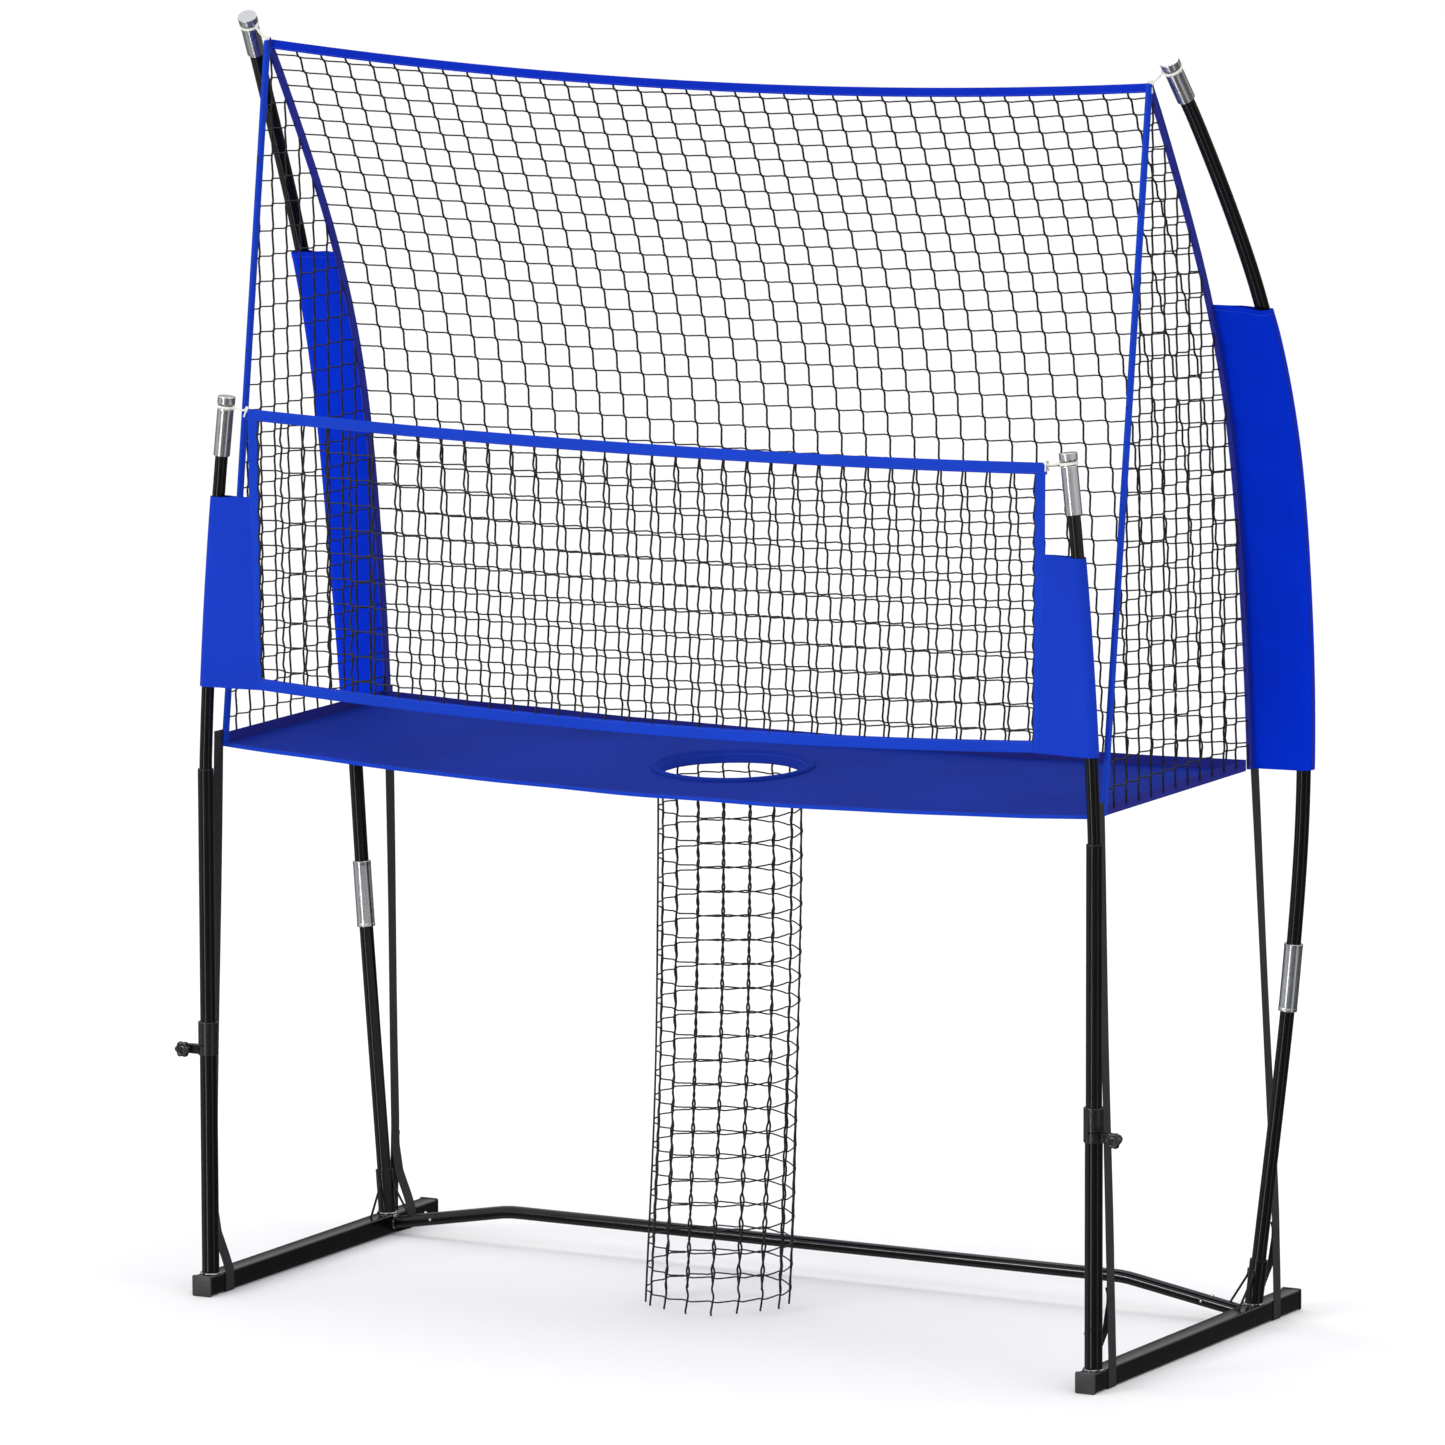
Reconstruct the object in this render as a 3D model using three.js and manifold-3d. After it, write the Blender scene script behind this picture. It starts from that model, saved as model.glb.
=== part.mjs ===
// Free-standing volleyball practice net, built in millimetres with +Z up.
// The origin is on the floor at the centre of the footprint; the open front faces -Y.
import * as THREE from "three";
import { mergeVertices } from "three/addons/utils/BufferGeometryUtils.js";
import Module from "manifold-3d";

const wasm = await Module();
wasm.setup();

// Clearances and mesh fineness
const seatGap = 0.3;
const cutOverrun = 5;
const weldTolerance = 0.0001;
const tubeSides = 14;
const smallSides = 8;
const cordSides = 6;
const shoulderLength = 1;

// Base bars: square steel tube with a plastic cap in each end
const standWidth = 2500;
const barLength = 1150;
const barSide = 50;
const barWall = 2;
const barCorner = 5;
const capRim = 2;
const capFlange = 5;
const capPlugDepth = 18;

// Front uprights: socket, outer tube, clamp, sliding tube and pole
const uprightInset = 47;
const uprightRadius = 22;
const socketHeight = 104;
const socketWall = 2.5;
const outerTubeWall = 1.5;
const outerTubeTop = 692;
const swageDepth = 92;
const swageWall = 1.5;
const slideClearance = 0.5;
const slideTubeWall = 1.6;
const slideTubeBottom = 475;
const slideTubeTop = 1345;
const clampSlitWidth = 3;
const clampSlitLength = 92;
const poleRadius = 16;
const poleWall = 1.5;
const poleSeatDepth = 55;
const frontTipBase = 2141;
const frontTipLength = 151;
const tipPull = 73;
const tipKinkShare = 0.48;
const bendPieces = 6;

// Clamp collar and its star knob
const collarHeight = 86;
const collarWall = 3;
const collarLip = 8;
const ringShare = 0.33;
const reliefSlot = 4;
const reliefDepthShare = 0.15;
const earThickness = 8;
const earEndRadius = 11;
const knobOffset = 63;
const knobDrop = 16;
const studRadius = 3.9;
const studClearance = 0.6;
const knobRadius = 21;
const knobLobes = 6;
const pointsPerLobe = 4;
const knobLobeDepth = 2.6;
const knobThickness = 15;
const knobNeckRadius = 9;
const knobNeckLength = 4;
const knobDiscRadius = 11.5;
const knobDiscDepth = 1.5;

// Rear poles: leaning sockets, bowed poles with a joint ferrule, and end tips
const rearInset = 218;
const rearPoleRadius = 18;
const rearPoleWall = 1.5;
const rearPoleTop = 3213;
const bowOut = 126;
const bowForward = 582;
const rearSocketHeight = 114;
const rearSocketWall = 4.6;
const poleFootGap = 3;
const lowerPolePieces = 3;
const ferruleLow = 796;
const ferruleHigh = 966;
const ferruleWall = 5;
const rearTipBase = 3115;
const rearTipLength = 118;
const rearTipSeatShare = 0.7;
const tipWall = 4;
const tipClearance = 0.8;
const tipCapThickness = 12;
const tipHeadroom = 3;
const tipCapOverhang = 1.6;
const tipGrooveWidth = 10;
const tipGrooveDepth = 3;
const tipGrooveDrop = 26;
const braceRadius = 3;
const braceRise = 82;
const braceReach = 62;

// Crossbar: a stub on each base bar and two tubes with a shallow arch
const crossRadius = 16.5;
const crossWall = 1.5;
const crossRise = 59;
const stubHeight = 27;
const stubLength = 129;
const crossBendX = 888;
const crossBendRadius = 300;
const crossBendPieces = 3;
const crossInsert = 50;
const crossJoint = 60;
const gussetThickness = 5;
const gussetLength = 52;

// Spring buttons
const buttonRadius = 4;
const buttonProud = 5;
const buttonRoot = 8;
const crossButtonRoot = 6;
const socketButtonDrop = 17;
const topButtonInset = 35;
const sideButtonInset = 14;

// Nets and fabric
const clothThickness = 3;
const clothRings = 4;
const sideNetInset = 15;
const seamSetForward = 26;
const trayHeight = 1402;
const trayFrontSag = 39;
const trayRearSag = 19;
const trayFrontInset = 110;
const holeInset = 522;
const backNetTop = 3155;
const backNetSag = 55;
const bandNames = ["lower", "middle", "upper"];
const sideTopInset = 345;
const sideTopDrop = 27;
const sideNetDepth = 600;
const sailTop = 2582;
const sailLift = 8;
const sailLooseness = 7.3;
const frontNetTopGap = 60;
const frontNetLowGap = 168;
const frontNetLow = 1555;
const frontNetHigh = 2263;
const frontNetSag = 33;
const pocketHigh = 2040;
const pocketLooseness = 4;
const netStrand = 7;
const bindingWidth = 30;
const backNetColumns = 12;
const backBandRows = 3;
const sideNetColumns = 3;
const sideNetRows = 7;
const frontNetColumns = 16;
const frontNetRows = 4;
const sailLevels = 8;
const pocketLevels = 3;
const longEdgeSpokes = 10;
const shortEdgeSpokes = 4;
const holeRadius = 166;
const chuteTopRadius = 170;
const chuteRadius = 180;
const chuteNeck = 60;
const chuteLean = -40;
const chuteFloorGap = 6;
const chuteSides = 20;

// Tie-down straps and corner ties
const strapWidth = 40;
const strapThickness = 1.4;
const frontStrapSetback = 50;
const rearStrapSetback = 79;
const rearStrapTopShift = -70;
const strapJoin = 213;
const strapOpening = 18;
const strapTopDrop = 6;
const tieRadius = 2.2;
const tieLooseness = 1;

// Places worked out from the sizes above
const barX = standWidth / 2;
const netHalfWidth = barX - sideNetInset;
const frontNetHalf = barX - tipPull - frontNetTopGap;
const frontNetLowHalf = barX - frontNetLowGap;
const frontEnd = -barLength / 2;
const rearEnd = barLength / 2;
const barTop = capRim + barSide;
const barCentreZ = capRim + barSide / 2;
const uprightY = frontEnd + uprightInset;
const rearY = rearEnd - rearInset;
const socketTop = barTop + seatGap + socketHeight;
const swageRadius = uprightRadius - socketWall - seatGap;
const outerTubeBore = uprightRadius - outerTubeWall;
const slideRadius = outerTubeBore - slideClearance;
const collarBore = uprightRadius + seatGap;
const collarRadius = collarBore + collarWall;
const collarTop = outerTubeTop + collarLip;
const collarLow = collarTop - collarHeight;
const ringTop = collarLow + collarHeight * ringShare;
const knobZ = ringTop - knobDrop;
const frontTipTop = frontTipBase + frontTipLength;
const crossHeight = stubHeight + capRim + crossRise;
const stubSlope = Math.atan2(crossRise, barX - barSide / 2 - crossBendX);
const sideNetX = netHalfWidth + seatGap + clothThickness / 2;
const sailSeamX = sideNetX + clothThickness / 2 + seatGap;

// Finishes
const blackSteel = new THREE.MeshStandardMaterial({ color: 0x17171a, roughness: 0.42, metalness: 0.35 });
const blackPlastic = new THREE.MeshStandardMaterial({ color: 0x2c2c2f, roughness: 0.6, metalness: 0 });
const chrome = new THREE.MeshStandardMaterial({ color: 0xc9ccd0, roughness: 0.22, metalness: 0.95 });
const blueCloth = new THREE.MeshStandardMaterial({ color: 0x1b3fd0, roughness: 0.8, metalness: 0 });
const netCord = new THREE.MeshStandardMaterial({ color: 0x151517, roughness: 0.85, metalness: 0 });
const blackWebbing = new THREE.MeshStandardMaterial({ color: 0x1c1c1e, roughness: 0.85, metalness: 0 });
const whiteCord = new THREE.MeshStandardMaterial({ color: 0xf2f2ee, roughness: 0.75, metalness: 0 });

const practiceNet = new THREE.Group();
const sides = [["left", -1], ["right", 1]];
const at = (x, y, z) => new THREE.Vector3(x, y, z);
const towards = (start, direction, distance) => start.clone().addScaledVector(direction, distance);
const evenBreaks = (count) => Array.from({ length: count + 1 }, (_, k) => k / count);
const heightsBetween = (low, high, pieces) => evenBreaks(pieces).map((share) => low + (high - low) * share);

// Volume with a sign that is negative when the faces point inwards.
function signedVolume(geometry) {
  const flat = geometry.index ? geometry.toNonIndexed() : geometry;
  const corners = flat.attributes.position;
  const [a, b, c] = [at(0, 0, 0), at(0, 0, 0), at(0, 0, 0)];
  let total = 0;
  for (let i = 0; i < corners.count; i += 3) {
    a.fromBufferAttribute(corners, i);
    b.fromBufferAttribute(corners, i + 1);
    c.fromBufferAttribute(corners, i + 2);
    total += a.dot(b.cross(c)) / 6;
  }
  return total;
}

// Turns the faces outwards where a mirror or a profile left them pointing in.
function outward(geometry) {
  if (signedVolume(geometry) >= 0) {
    return geometry;
  }
  const flat = geometry.index ? geometry.toNonIndexed() : geometry.clone();
  const corners = flat.attributes.position;
  const [b, c] = [at(0, 0, 0), at(0, 0, 0)];
  for (let i = 0; i < corners.count; i += 3) {
    b.fromBufferAttribute(corners, i + 1);
    c.fromBufferAttribute(corners, i + 2);
    corners.setXYZ(i + 1, c.x, c.y, c.z);
    corners.setXYZ(i + 2, b.x, b.y, b.z);
  }
  flat.computeVertexNormals();
  return flat;
}

// Adds one named piece with its own copy of the finish.
function place(name, geometry, finish, x = 0, y = 0, z = 0) {
  const piece = new THREE.Mesh(outward(geometry), finish.clone());
  piece.name = name;
  piece.position.set(x, y, z);
  practiceNet.add(piece);
}

const mirrored = (geometry, side) => outward(geometry.clone().scale(side, 1, 1));

function toSolid(geometry) {
  const bare = outward(geometry).clone();
  bare.deleteAttribute("normal");
  bare.deleteAttribute("uv");
  const merged = mergeVertices(bare, weldTolerance);
  const index = merged.index.array;
  const faces = [];
  for (let i = 0; i < index.length; i += 3) {
    const [a, b, c] = [index[i], index[i + 1], index[i + 2]];
    if (a !== b && b !== c && a !== c) {
      faces.push(a, b, c);
    }
  }
  const vertProperties = new Float32Array(merged.attributes.position.array);
  return new wasm.Manifold(new wasm.Mesh({ numProp: 3, vertProperties, triVerts: new Uint32Array(faces) }));
}

function toGeometry(solid) {
  const mesh = solid.getMesh();
  const geometry = new THREE.BufferGeometry();
  geometry.setAttribute("position", new THREE.BufferAttribute(new Float32Array(mesh.vertProperties), 3));
  geometry.setIndex(new THREE.BufferAttribute(new Uint32Array(mesh.triVerts), 1));
  return geometry;
}

const fuse = (first, ...others) => toGeometry(others.reduce((sum, one) => sum.add(toSolid(one)), toSolid(first)));
const cut = (body, ...tools) => toGeometry(tools.reduce((rest, one) => rest.subtract(toSolid(one)), toSolid(body)));

// A turned piece: a closed profile of [radius, height] points spun about Z.
function turned(profile, segments = tubeSides) {
  const points = [...profile, profile[0]].map(([r, h]) => new THREE.Vector2(r, h));
  return outward(new THREE.LatheGeometry(points, segments).rotateX(Math.PI / 2));
}

const tube = (radius, bore, low, high) => turned([[bore, low], [radius, low], [radius, high], [bore, high]]);

function rod(radius, low, high, segments = tubeSides) {
  const body = new THREE.CylinderGeometry(radius, radius, high - low, segments);
  return body.rotateX(Math.PI / 2).translate(0, 0, (low + high) / 2);
}

// A block given by its lowest and highest corners.
function block(low, high) {
  const [w, d, h] = high.map((value, i) => value - low[i]);
  return new THREE.BoxGeometry(w, d, h).translate(...high.map((value, i) => (value + low[i]) / 2));
}

// A body from rings of points; each level has an outline and, when it is hollow, a hole.
function loft(levels) {
  const hollow = Boolean(levels[0].hole);
  const count = levels[0].outline.length;
  const last = levels.length - 1;
  const positions = [];
  const add = (point) => positions.push(...point.toArray()) / 3 - 1;
  const outer = levels.map(({ outline }) => outline.map(add));
  const inner = levels.map(({ hole }) => (hollow ? hole.map(add) : []));
  const faces = [];
  const quad = (a, b, c, d) => faces.push(a, b, c, a, c, d);
  for (let k = 0; k < count; k++) {
    const next = (k + 1) % count;
    for (let level = 0; level < last; level++) {
      quad(outer[level][k], outer[level][next], outer[level + 1][next], outer[level + 1][k]);
      if (hollow) {
        quad(inner[level][next], inner[level][k], inner[level + 1][k], inner[level + 1][next]);
      }
    }
    if (hollow) {
      quad(outer[0][next], outer[0][k], inner[0][k], inner[0][next]);
      quad(outer[last][k], outer[last][next], inner[last][next], inner[last][k]);
    }
  }
  for (let k = 1; !hollow && k < count - 1; k++) {
    faces.push(outer[0][0], outer[0][k + 1], outer[0][k]);
    faces.push(outer[last][0], outer[last][k], outer[last][k + 1]);
  }
  const geometry = new THREE.BufferGeometry();
  geometry.setAttribute("position", new THREE.Float32BufferAttribute(positions, 3));
  geometry.setIndex(faces);
  return outward(geometry);
}

// A round bar or tube through stations of { point, radius, bore }; no bore leaves it solid.
function sweep(stations, segments = tubeSides) {
  const points = stations.map(({ point }) => point);
  return loft(stations.map(({ point, radius, bore }, i) => {
    const before = points[Math.max(i - 1, 0)];
    const after = points[Math.min(i + 1, points.length - 1)];
    const into = at(0, 0, 0).subVectors(point, before).normalize();
    const onward = at(0, 0, 0).subVectors(after, point).normalize();
    const direction = into.add(onward).normalize();
    const first = Math.abs(direction.y) > Math.abs(direction.z) ? at(1, 0, 0) : at(0, 1, 0);
    const u = towards(first, direction, -first.dot(direction)).normalize();
    const v = at(0, 0, 0).crossVectors(direction, u);
    const ring = (size) => Array.from({ length: segments }, (_, k) => {
      const angle = (Math.PI * 2 * k) / segments;
      return towards(towards(point, u, size * Math.cos(angle)), v, size * Math.sin(angle));
    });
    return { outline: ring(radius), hole: bore ? ring(bore) : null };
  }));
}

const bar = (from, to, radius, segments) => sweep([{ point: from, radius }, { point: to, radius }], segments);

// A tube whose centre line is given by height.
const pole = (lineAt, heights, radius, wall) => (
  sweep(heights.map((z) => ({ point: lineAt(z), radius, bore: radius - wall }))));

// Direction of a centre line from one height to another.
const leanBetween = (lineAt, low, high) => at(0, 0, 0).subVectors(lineAt(high), lineAt(low)).normalize();

// Turns a piece built along +Z from zero so that it lies on a centre line between two heights.
function setOnLine(geometry, lineAt, low, high) {
  const turn = new THREE.Quaternion().setFromUnitVectors(at(0, 0, 1), leanBetween(lineAt, low, high));
  return geometry.applyQuaternion(turn).translate(...lineAt(low).toArray());
}

// A sheet of even thickness on a surface, over a grid of breaks; gapAt says which cells are open.
function sheet(surface, uBreaks, vBreaks, gapAt = () => false, closed = false) {
  const cellsU = closed ? uBreaks.length : uBreaks.length - 1;
  const cellsV = vBreaks.length - 1;
  const positions = [];
  for (const v of vBreaks) {
    for (const u of uBreaks) {
      const { point, normal } = surface(u, v);
      for (const face of [1, -1]) {
        positions.push(...towards(point, normal, (face * clothThickness) / 2).toArray());
      }
    }
  }
  const corner = (i, j, back) => 2 * (j * uBreaks.length + (i % uBreaks.length)) + back;
  const solid = (i, j) => {
    const column = closed ? (i + cellsU) % cellsU : i;
    return column >= 0 && column < cellsU && j >= 0 && j < cellsV && !gapAt(column, j);
  };
  const faces = [];
  const quad = (a, b, c, d) => faces.push(a, b, c, a, c, d);
  const across = [[0, -1], [1, 0], [0, 1], [-1, 0]];
  for (let i = 0; i < cellsU; i++) {
    for (let j = 0; j < cellsV; j++) {
      if (!solid(i, j)) {
        continue;
      }
      const ring = [[i, j], [i + 1, j], [i + 1, j + 1], [i, j + 1]];
      quad(...ring.map(([a, b]) => corner(a, b, 0)));
      quad(...ring.map(([a, b]) => corner(a, b, 1)).reverse());
      across.forEach(([di, dj], k) => {
        if (!solid(i + di, j + dj)) {
          const [a, b] = [ring[k], ring[(k + 1) % ring.length]];
          quad(corner(...a, 1), corner(...b, 1), corner(...b, 0), corner(...a, 0));
        }
      });
    }
  }
  const geometry = new THREE.BufferGeometry();
  geometry.setAttribute("position", new THREE.Float32BufferAttribute(positions, 3));
  geometry.setIndex(faces);
  return outward(geometry);
}

// Breaks for a net: a border at each end and open gaps between strands.
function netBreaks(gaps, length, lowBorder = bindingWidth, highBorder = bindingWidth) {
  const breaks = [0, lowBorder / length];
  const pitch = (length - lowBorder - highBorder + netStrand) / gaps;
  for (let k = 1; k < gaps; k++) {
    const low = lowBorder - netStrand + k * pitch;
    breaks.push(low / length, (low + netStrand) / length);
  }
  breaks.push(1 - highBorder / length, 1);
  return breaks;
}

const gapCell = (i, j) => i % 2 === 1 && j % 2 === 1;

// A fabric sleeve: a web from a seam to a pole and a loop round the pole, through level sections.
function sleeve(heights, poleAt, seamAt, bore) {
  const arcPoints = 8;
  const outer = bore + clothThickness;
  const half = clothThickness / 2;
  const web = Math.asin(half / outer);
  return loft(heights.map((height) => {
    const centre = poleAt(height);
    const seam = seamAt(height);
    const along = at(0, 0, 0).subVectors(seam, centre).setZ(0).normalize();
    const across = at(-along.y, along.x, 0);
    const round = (size, angle) => (
      towards(towards(centre, along, size * Math.cos(angle)), across, size * Math.sin(angle)));
    const angles = Array.from({ length: arcPoints }, (_, k) => (
      web + ((Math.PI * 2 - 2 * web) * k) / (arcPoints - 1)));
    return {
      outline: [towards(seam, across, half), ...angles.map((a) => round(outer, a)), towards(seam, across, -half)],
      hole: [round(bore, web / 2), ...angles.map((a) => round(bore, a)), round(bore, -web / 2)],
    };
  }));
}

function roundedSquare(side, corner, Kind = THREE.Shape) {
  const reach = side / 2 - corner;
  const outline = new Kind();
  outline.absarc(reach, reach, corner, 0, Math.PI / 2, false);
  outline.absarc(-reach, reach, corner, Math.PI / 2, Math.PI, false);
  outline.absarc(-reach, -reach, corner, Math.PI, Math.PI * 1.5, false);
  outline.absarc(reach, -reach, corner, Math.PI * 1.5, Math.PI * 2, false);
  return outline;
}

// Extrudes a section drawn in X and Z along +Y, from y = 0.
function alongY(section, length, curveSegments = 2) {
  const body = new THREE.ExtrudeGeometry(section, { depth: length, curveSegments, bevelEnabled: false });
  return body.rotateX(Math.PI / 2).translate(0, length, 0);
}

// Base bar: square tube, closed by its caps.
function baseBar() {
  const section = roundedSquare(barSide, barCorner);
  section.holes.push(roundedSquare(barSide - 2 * barWall, barCorner - barWall, THREE.Path));
  return alongY(section, barLength - 2 * (capFlange + seatGap));
}

// End cap: a flange a little larger than the tube, with a plug inside it.
function endCap() {
  const flange = alongY(roundedSquare(barSide + 2 * capRim, barCorner + capRim), capFlange);
  const plugSide = barSide - 2 * (barWall + seatGap);
  const plug = alongY(roundedSquare(plugSide, barCorner - barWall), capFlange / 2 + seatGap + capPlugDepth);
  return fuse(flange, plug.translate(0, capFlange / 2, 0));
}

for (const [word, side] of sides) {
  place(`${word}_base_bar`, baseBar(), blackSteel, side * barX, frontEnd + capFlange + seatGap, barCentreZ);
  place(`${word}_front_cap`, endCap(), blackPlastic, side * barX, frontEnd, barCentreZ);
  place(`${word}_rear_cap`, endCap().rotateZ(Math.PI), blackPlastic, side * barX, rearEnd, barCentreZ);
}

// Spring button along +Z: a pin with a domed end.
function springButton(low, high) {
  const domeSteps = 3;
  const dome = evenBreaks(domeSteps).map((share) => {
    const angle = (Math.PI / 2) * share;
    return [buttonRadius * Math.cos(angle), high - buttonRadius + buttonRadius * Math.sin(angle)];
  });
  return turned([[0, low], [buttonRadius, low], ...dome], smallSides);
}

const buttonHole = (low, high) => rod(buttonRadius + seatGap, low, high, smallSides);

// The right socket's button points to the middle of the stand, the left one's points back.
const buttonTurns = {
  left: (body) => body.rotateX(-Math.PI / 2),
  right: (body) => body.rotateY(-Math.PI / 2),
};
const socketButtonZ = socketTop - socketButtonDrop;
const socketDrill = (word) => (
  buttonTurns[word](buttonHole(buttonRoot, uprightRadius + cutOverrun)).translate(0, 0, socketButtonZ));

// Front socket: a sleeve welded on the base bar.
const frontSocket = (word) => (
  cut(tube(uprightRadius, uprightRadius - socketWall, barTop + seatGap, socketTop), socketDrill(word)));

// Outer tube: its necked end sits in the socket, and its slit top lets the clamp close it.
function outerTube(word, side) {
  const neckLow = socketTop - swageDepth;
  const neckBore = swageRadius - swageWall;
  const shoulder = socketTop + seatGap;
  const body = turned([
    [neckBore, neckLow], [swageRadius, neckLow], [swageRadius, shoulder], [uprightRadius, shoulder],
    [uprightRadius, outerTubeTop], [outerTubeBore, outerTubeTop],
    [outerTubeBore, shoulder + outerTubeWall], [neckBore, shoulder + outerTubeWall],
  ]);
  const slitLow = outerTubeTop - clampSlitLength;
  const slit = block([0, -clampSlitWidth / 2, slitLow],
    [uprightRadius + cutOverrun, clampSlitWidth / 2, outerTubeTop + cutOverrun]);
  return cut(body, mirrored(slit, side), socketDrill(word));
}

// Clamp collar: a sleeve over the tube's top whose lower ring is split between two ears.
function clampCollar() {
  const lipBore = slideRadius + slideClearance;
  const root = collarBore + collarWall / 2;
  const earTop = ringTop - reliefSlot;
  const earWidth = 2 * earThickness + clampSlitWidth;
  const body = turned([
    [collarBore, collarLow], [collarRadius, collarLow], [collarRadius, collarTop], [lipBore, collarTop],
    [lipBore, outerTubeTop + seatGap], [collarBore, outerTubeTop + seatGap],
  ]);
  const ear = new THREE.Shape();
  ear.moveTo(root, collarLow);
  ear.lineTo(knobOffset, knobZ - earEndRadius);
  ear.absarc(knobOffset, knobZ, earEndRadius, -Math.PI / 2, Math.PI / 2, false);
  ear.lineTo(root, earTop);
  const ears = alongY(ear, earWidth).translate(0, -earWidth / 2, 0);
  const slit = block([0, -clampSlitWidth / 2, collarLow - cutOverrun],
    [knobOffset + earEndRadius + cutOverrun, clampSlitWidth / 2, ringTop]);
  const relief = block([-collarRadius * reliefDepthShare, -collarRadius - cutOverrun, earTop],
    [collarRadius + cutOverrun, collarRadius + cutOverrun, ringTop]);
  const bore = rod(collarBore, collarLow - cutOverrun, outerTubeTop + seatGap);
  const studHole = rod(studRadius + studClearance, -earWidth, earWidth, smallSides);
  return cut(fuse(body, ears), slit, relief, bore, studHole.rotateX(Math.PI / 2).translate(knobOffset, 0, knobZ));
}

// Star knob with its threaded stud; the axis is Y and the face looks forward.
function starKnob() {
  const count = knobLobes * pointsPerLobe;
  const points = Array.from({ length: count }, (_, k) => {
    const angle = (Math.PI * 2 * k) / count;
    const reach = knobRadius - (knobLobeDepth * (1 - Math.cos(angle * knobLobes))) / 2;
    return new THREE.Vector2(reach * Math.cos(angle), reach * Math.sin(angle));
  });
  const bevel = knobLobeDepth / 2;
  const head = new THREE.ExtrudeGeometry(new THREE.Shape(points), {
    depth: knobThickness - 2 * bevel,
    bevelThickness: bevel,
    bevelSize: bevel,
    bevelOffset: -bevel,
    bevelSegments: 1,
  }).translate(0, 0, knobNeckLength + bevel);
  const neck = rod(knobNeckRadius, 0, knobNeckLength + bevel);
  const stud = rod(studRadius, -2 * earThickness - clampSlitWidth - seatGap, knobNeckLength, smallSides);
  const face = knobNeckLength + knobThickness;
  const disc = rod(knobDiscRadius, face - knobDiscDepth, face + cutOverrun);
  return cut(fuse(head, neck, stud), disc).rotateX(Math.PI / 2);
}

// Sliding tube, necked in at its top to hold the pole.
function slideTube() {
  const bore = slideRadius - slideTubeWall;
  const poleBore = poleRadius + seatGap;
  const neckLow = slideTubeTop - poleSeatDepth;
  return turned([
    [bore, slideTubeBottom], [slideRadius, slideTubeBottom], [slideRadius, slideTubeTop],
    [poleBore, slideTubeTop], [poleBore, neckLow], [bore, neckLow],
  ]);
}

// Centre line of the front pole: it leans and bends towards the middle above its seat.
function frontPoleAt(z) {
  const share = Math.max(0, (z - slideTubeTop) / (frontTipTop - slideTubeTop));
  return at(barX - tipPull * (tipKinkShare * share + (1 - tipKinkShare) * share * share), uprightY, z);
}

// Tip: a capped sleeve over a pole's end, with a groove near the top for the tie.
function tip(radius, length) {
  const bore = radius + tipClearance;
  const outer = bore + tipWall;
  const cap = outer + tipCapOverhang;
  const edge = tipGrooveDepth / 2;
  const grooveHigh = length - tipGrooveDrop + tipGrooveWidth / 2;
  const grooveLow = grooveHigh - tipGrooveWidth;
  return turned([
    [0, length], [cap - edge, length], [cap, length - edge], [cap, grooveHigh + tipGrooveDepth],
    [outer - tipGrooveDepth, grooveHigh], [outer - tipGrooveDepth, grooveLow],
    [outer, grooveLow - tipGrooveDepth], [outer, 0], [bore, 0],
    [bore, length - tipCapThickness], [0, length - tipCapThickness],
  ]);
}

const frontPoleLow = slideTubeTop - poleSeatDepth + seatGap;
const frontPoleHigh = frontTipTop - tipCapThickness - tipHeadroom;
const frontPoleHeights = [frontPoleLow, ...heightsBetween(slideTubeTop, frontPoleHigh, bendPieces)];
for (const [word, side] of sides) {
  const x = side * barX;
  place(`${word}_front_socket`, frontSocket(word), blackSteel, x, uprightY);
  place(`${word}_outer_tube`, outerTube(word, side), blackSteel, x, uprightY);
  const button = buttonTurns[word](springButton(buttonRoot, uprightRadius + buttonProud));
  place(`${word}_socket_button`, button, chrome, x, uprightY, socketButtonZ);
  place(`${word}_clamp_collar`, mirrored(clampCollar(), side), blackPlastic, x, uprightY);
  const knobY = uprightY - earThickness - clampSlitWidth / 2 - seatGap;
  place(`${word}_clamp_knob`, starKnob(), blackPlastic, x + side * knobOffset, knobY, knobZ);
  place(`${word}_slide_tube`, slideTube(), blackSteel, x, uprightY);
  const frontPole = pole(frontPoleAt, frontPoleHeights, poleRadius, poleWall);
  place(`${word}_front_pole`, mirrored(frontPole, side), blackSteel);
  const frontTip = setOnLine(tip(poleRadius, frontTipLength), frontPoleAt, frontTipBase, frontTipTop);
  place(`${word}_front_tip`, mirrored(frontTip, side), chrome);
}

// Bow of the rear pole as shares of its rise, its outward bow and its forward reach.
const rearBowShares = [
  [0, 0, 0], [0.27, 0.67, -0.058], [0.41, 0.9, -0.06], [0.55, 1, 0.007],
  [0.7, 0.99, 0.151], [0.81, 0.865, 0.375], [0.95, 0.51, 0.813], [1, 0.32, 1],
];
const upperPoleShares = [0, 0.14, 0.28, 0.41, 0.53, 0.64, 0.74, 0.83, 0.91, 1];
const rearRise = rearPoleTop - barTop;
const rearCurve = new THREE.CatmullRomCurve3(rearBowShares.map(([rise, out, forward]) => (
  at(barX + bowOut * out, rearY - bowForward * forward, barTop + rearRise * rise))));

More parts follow.
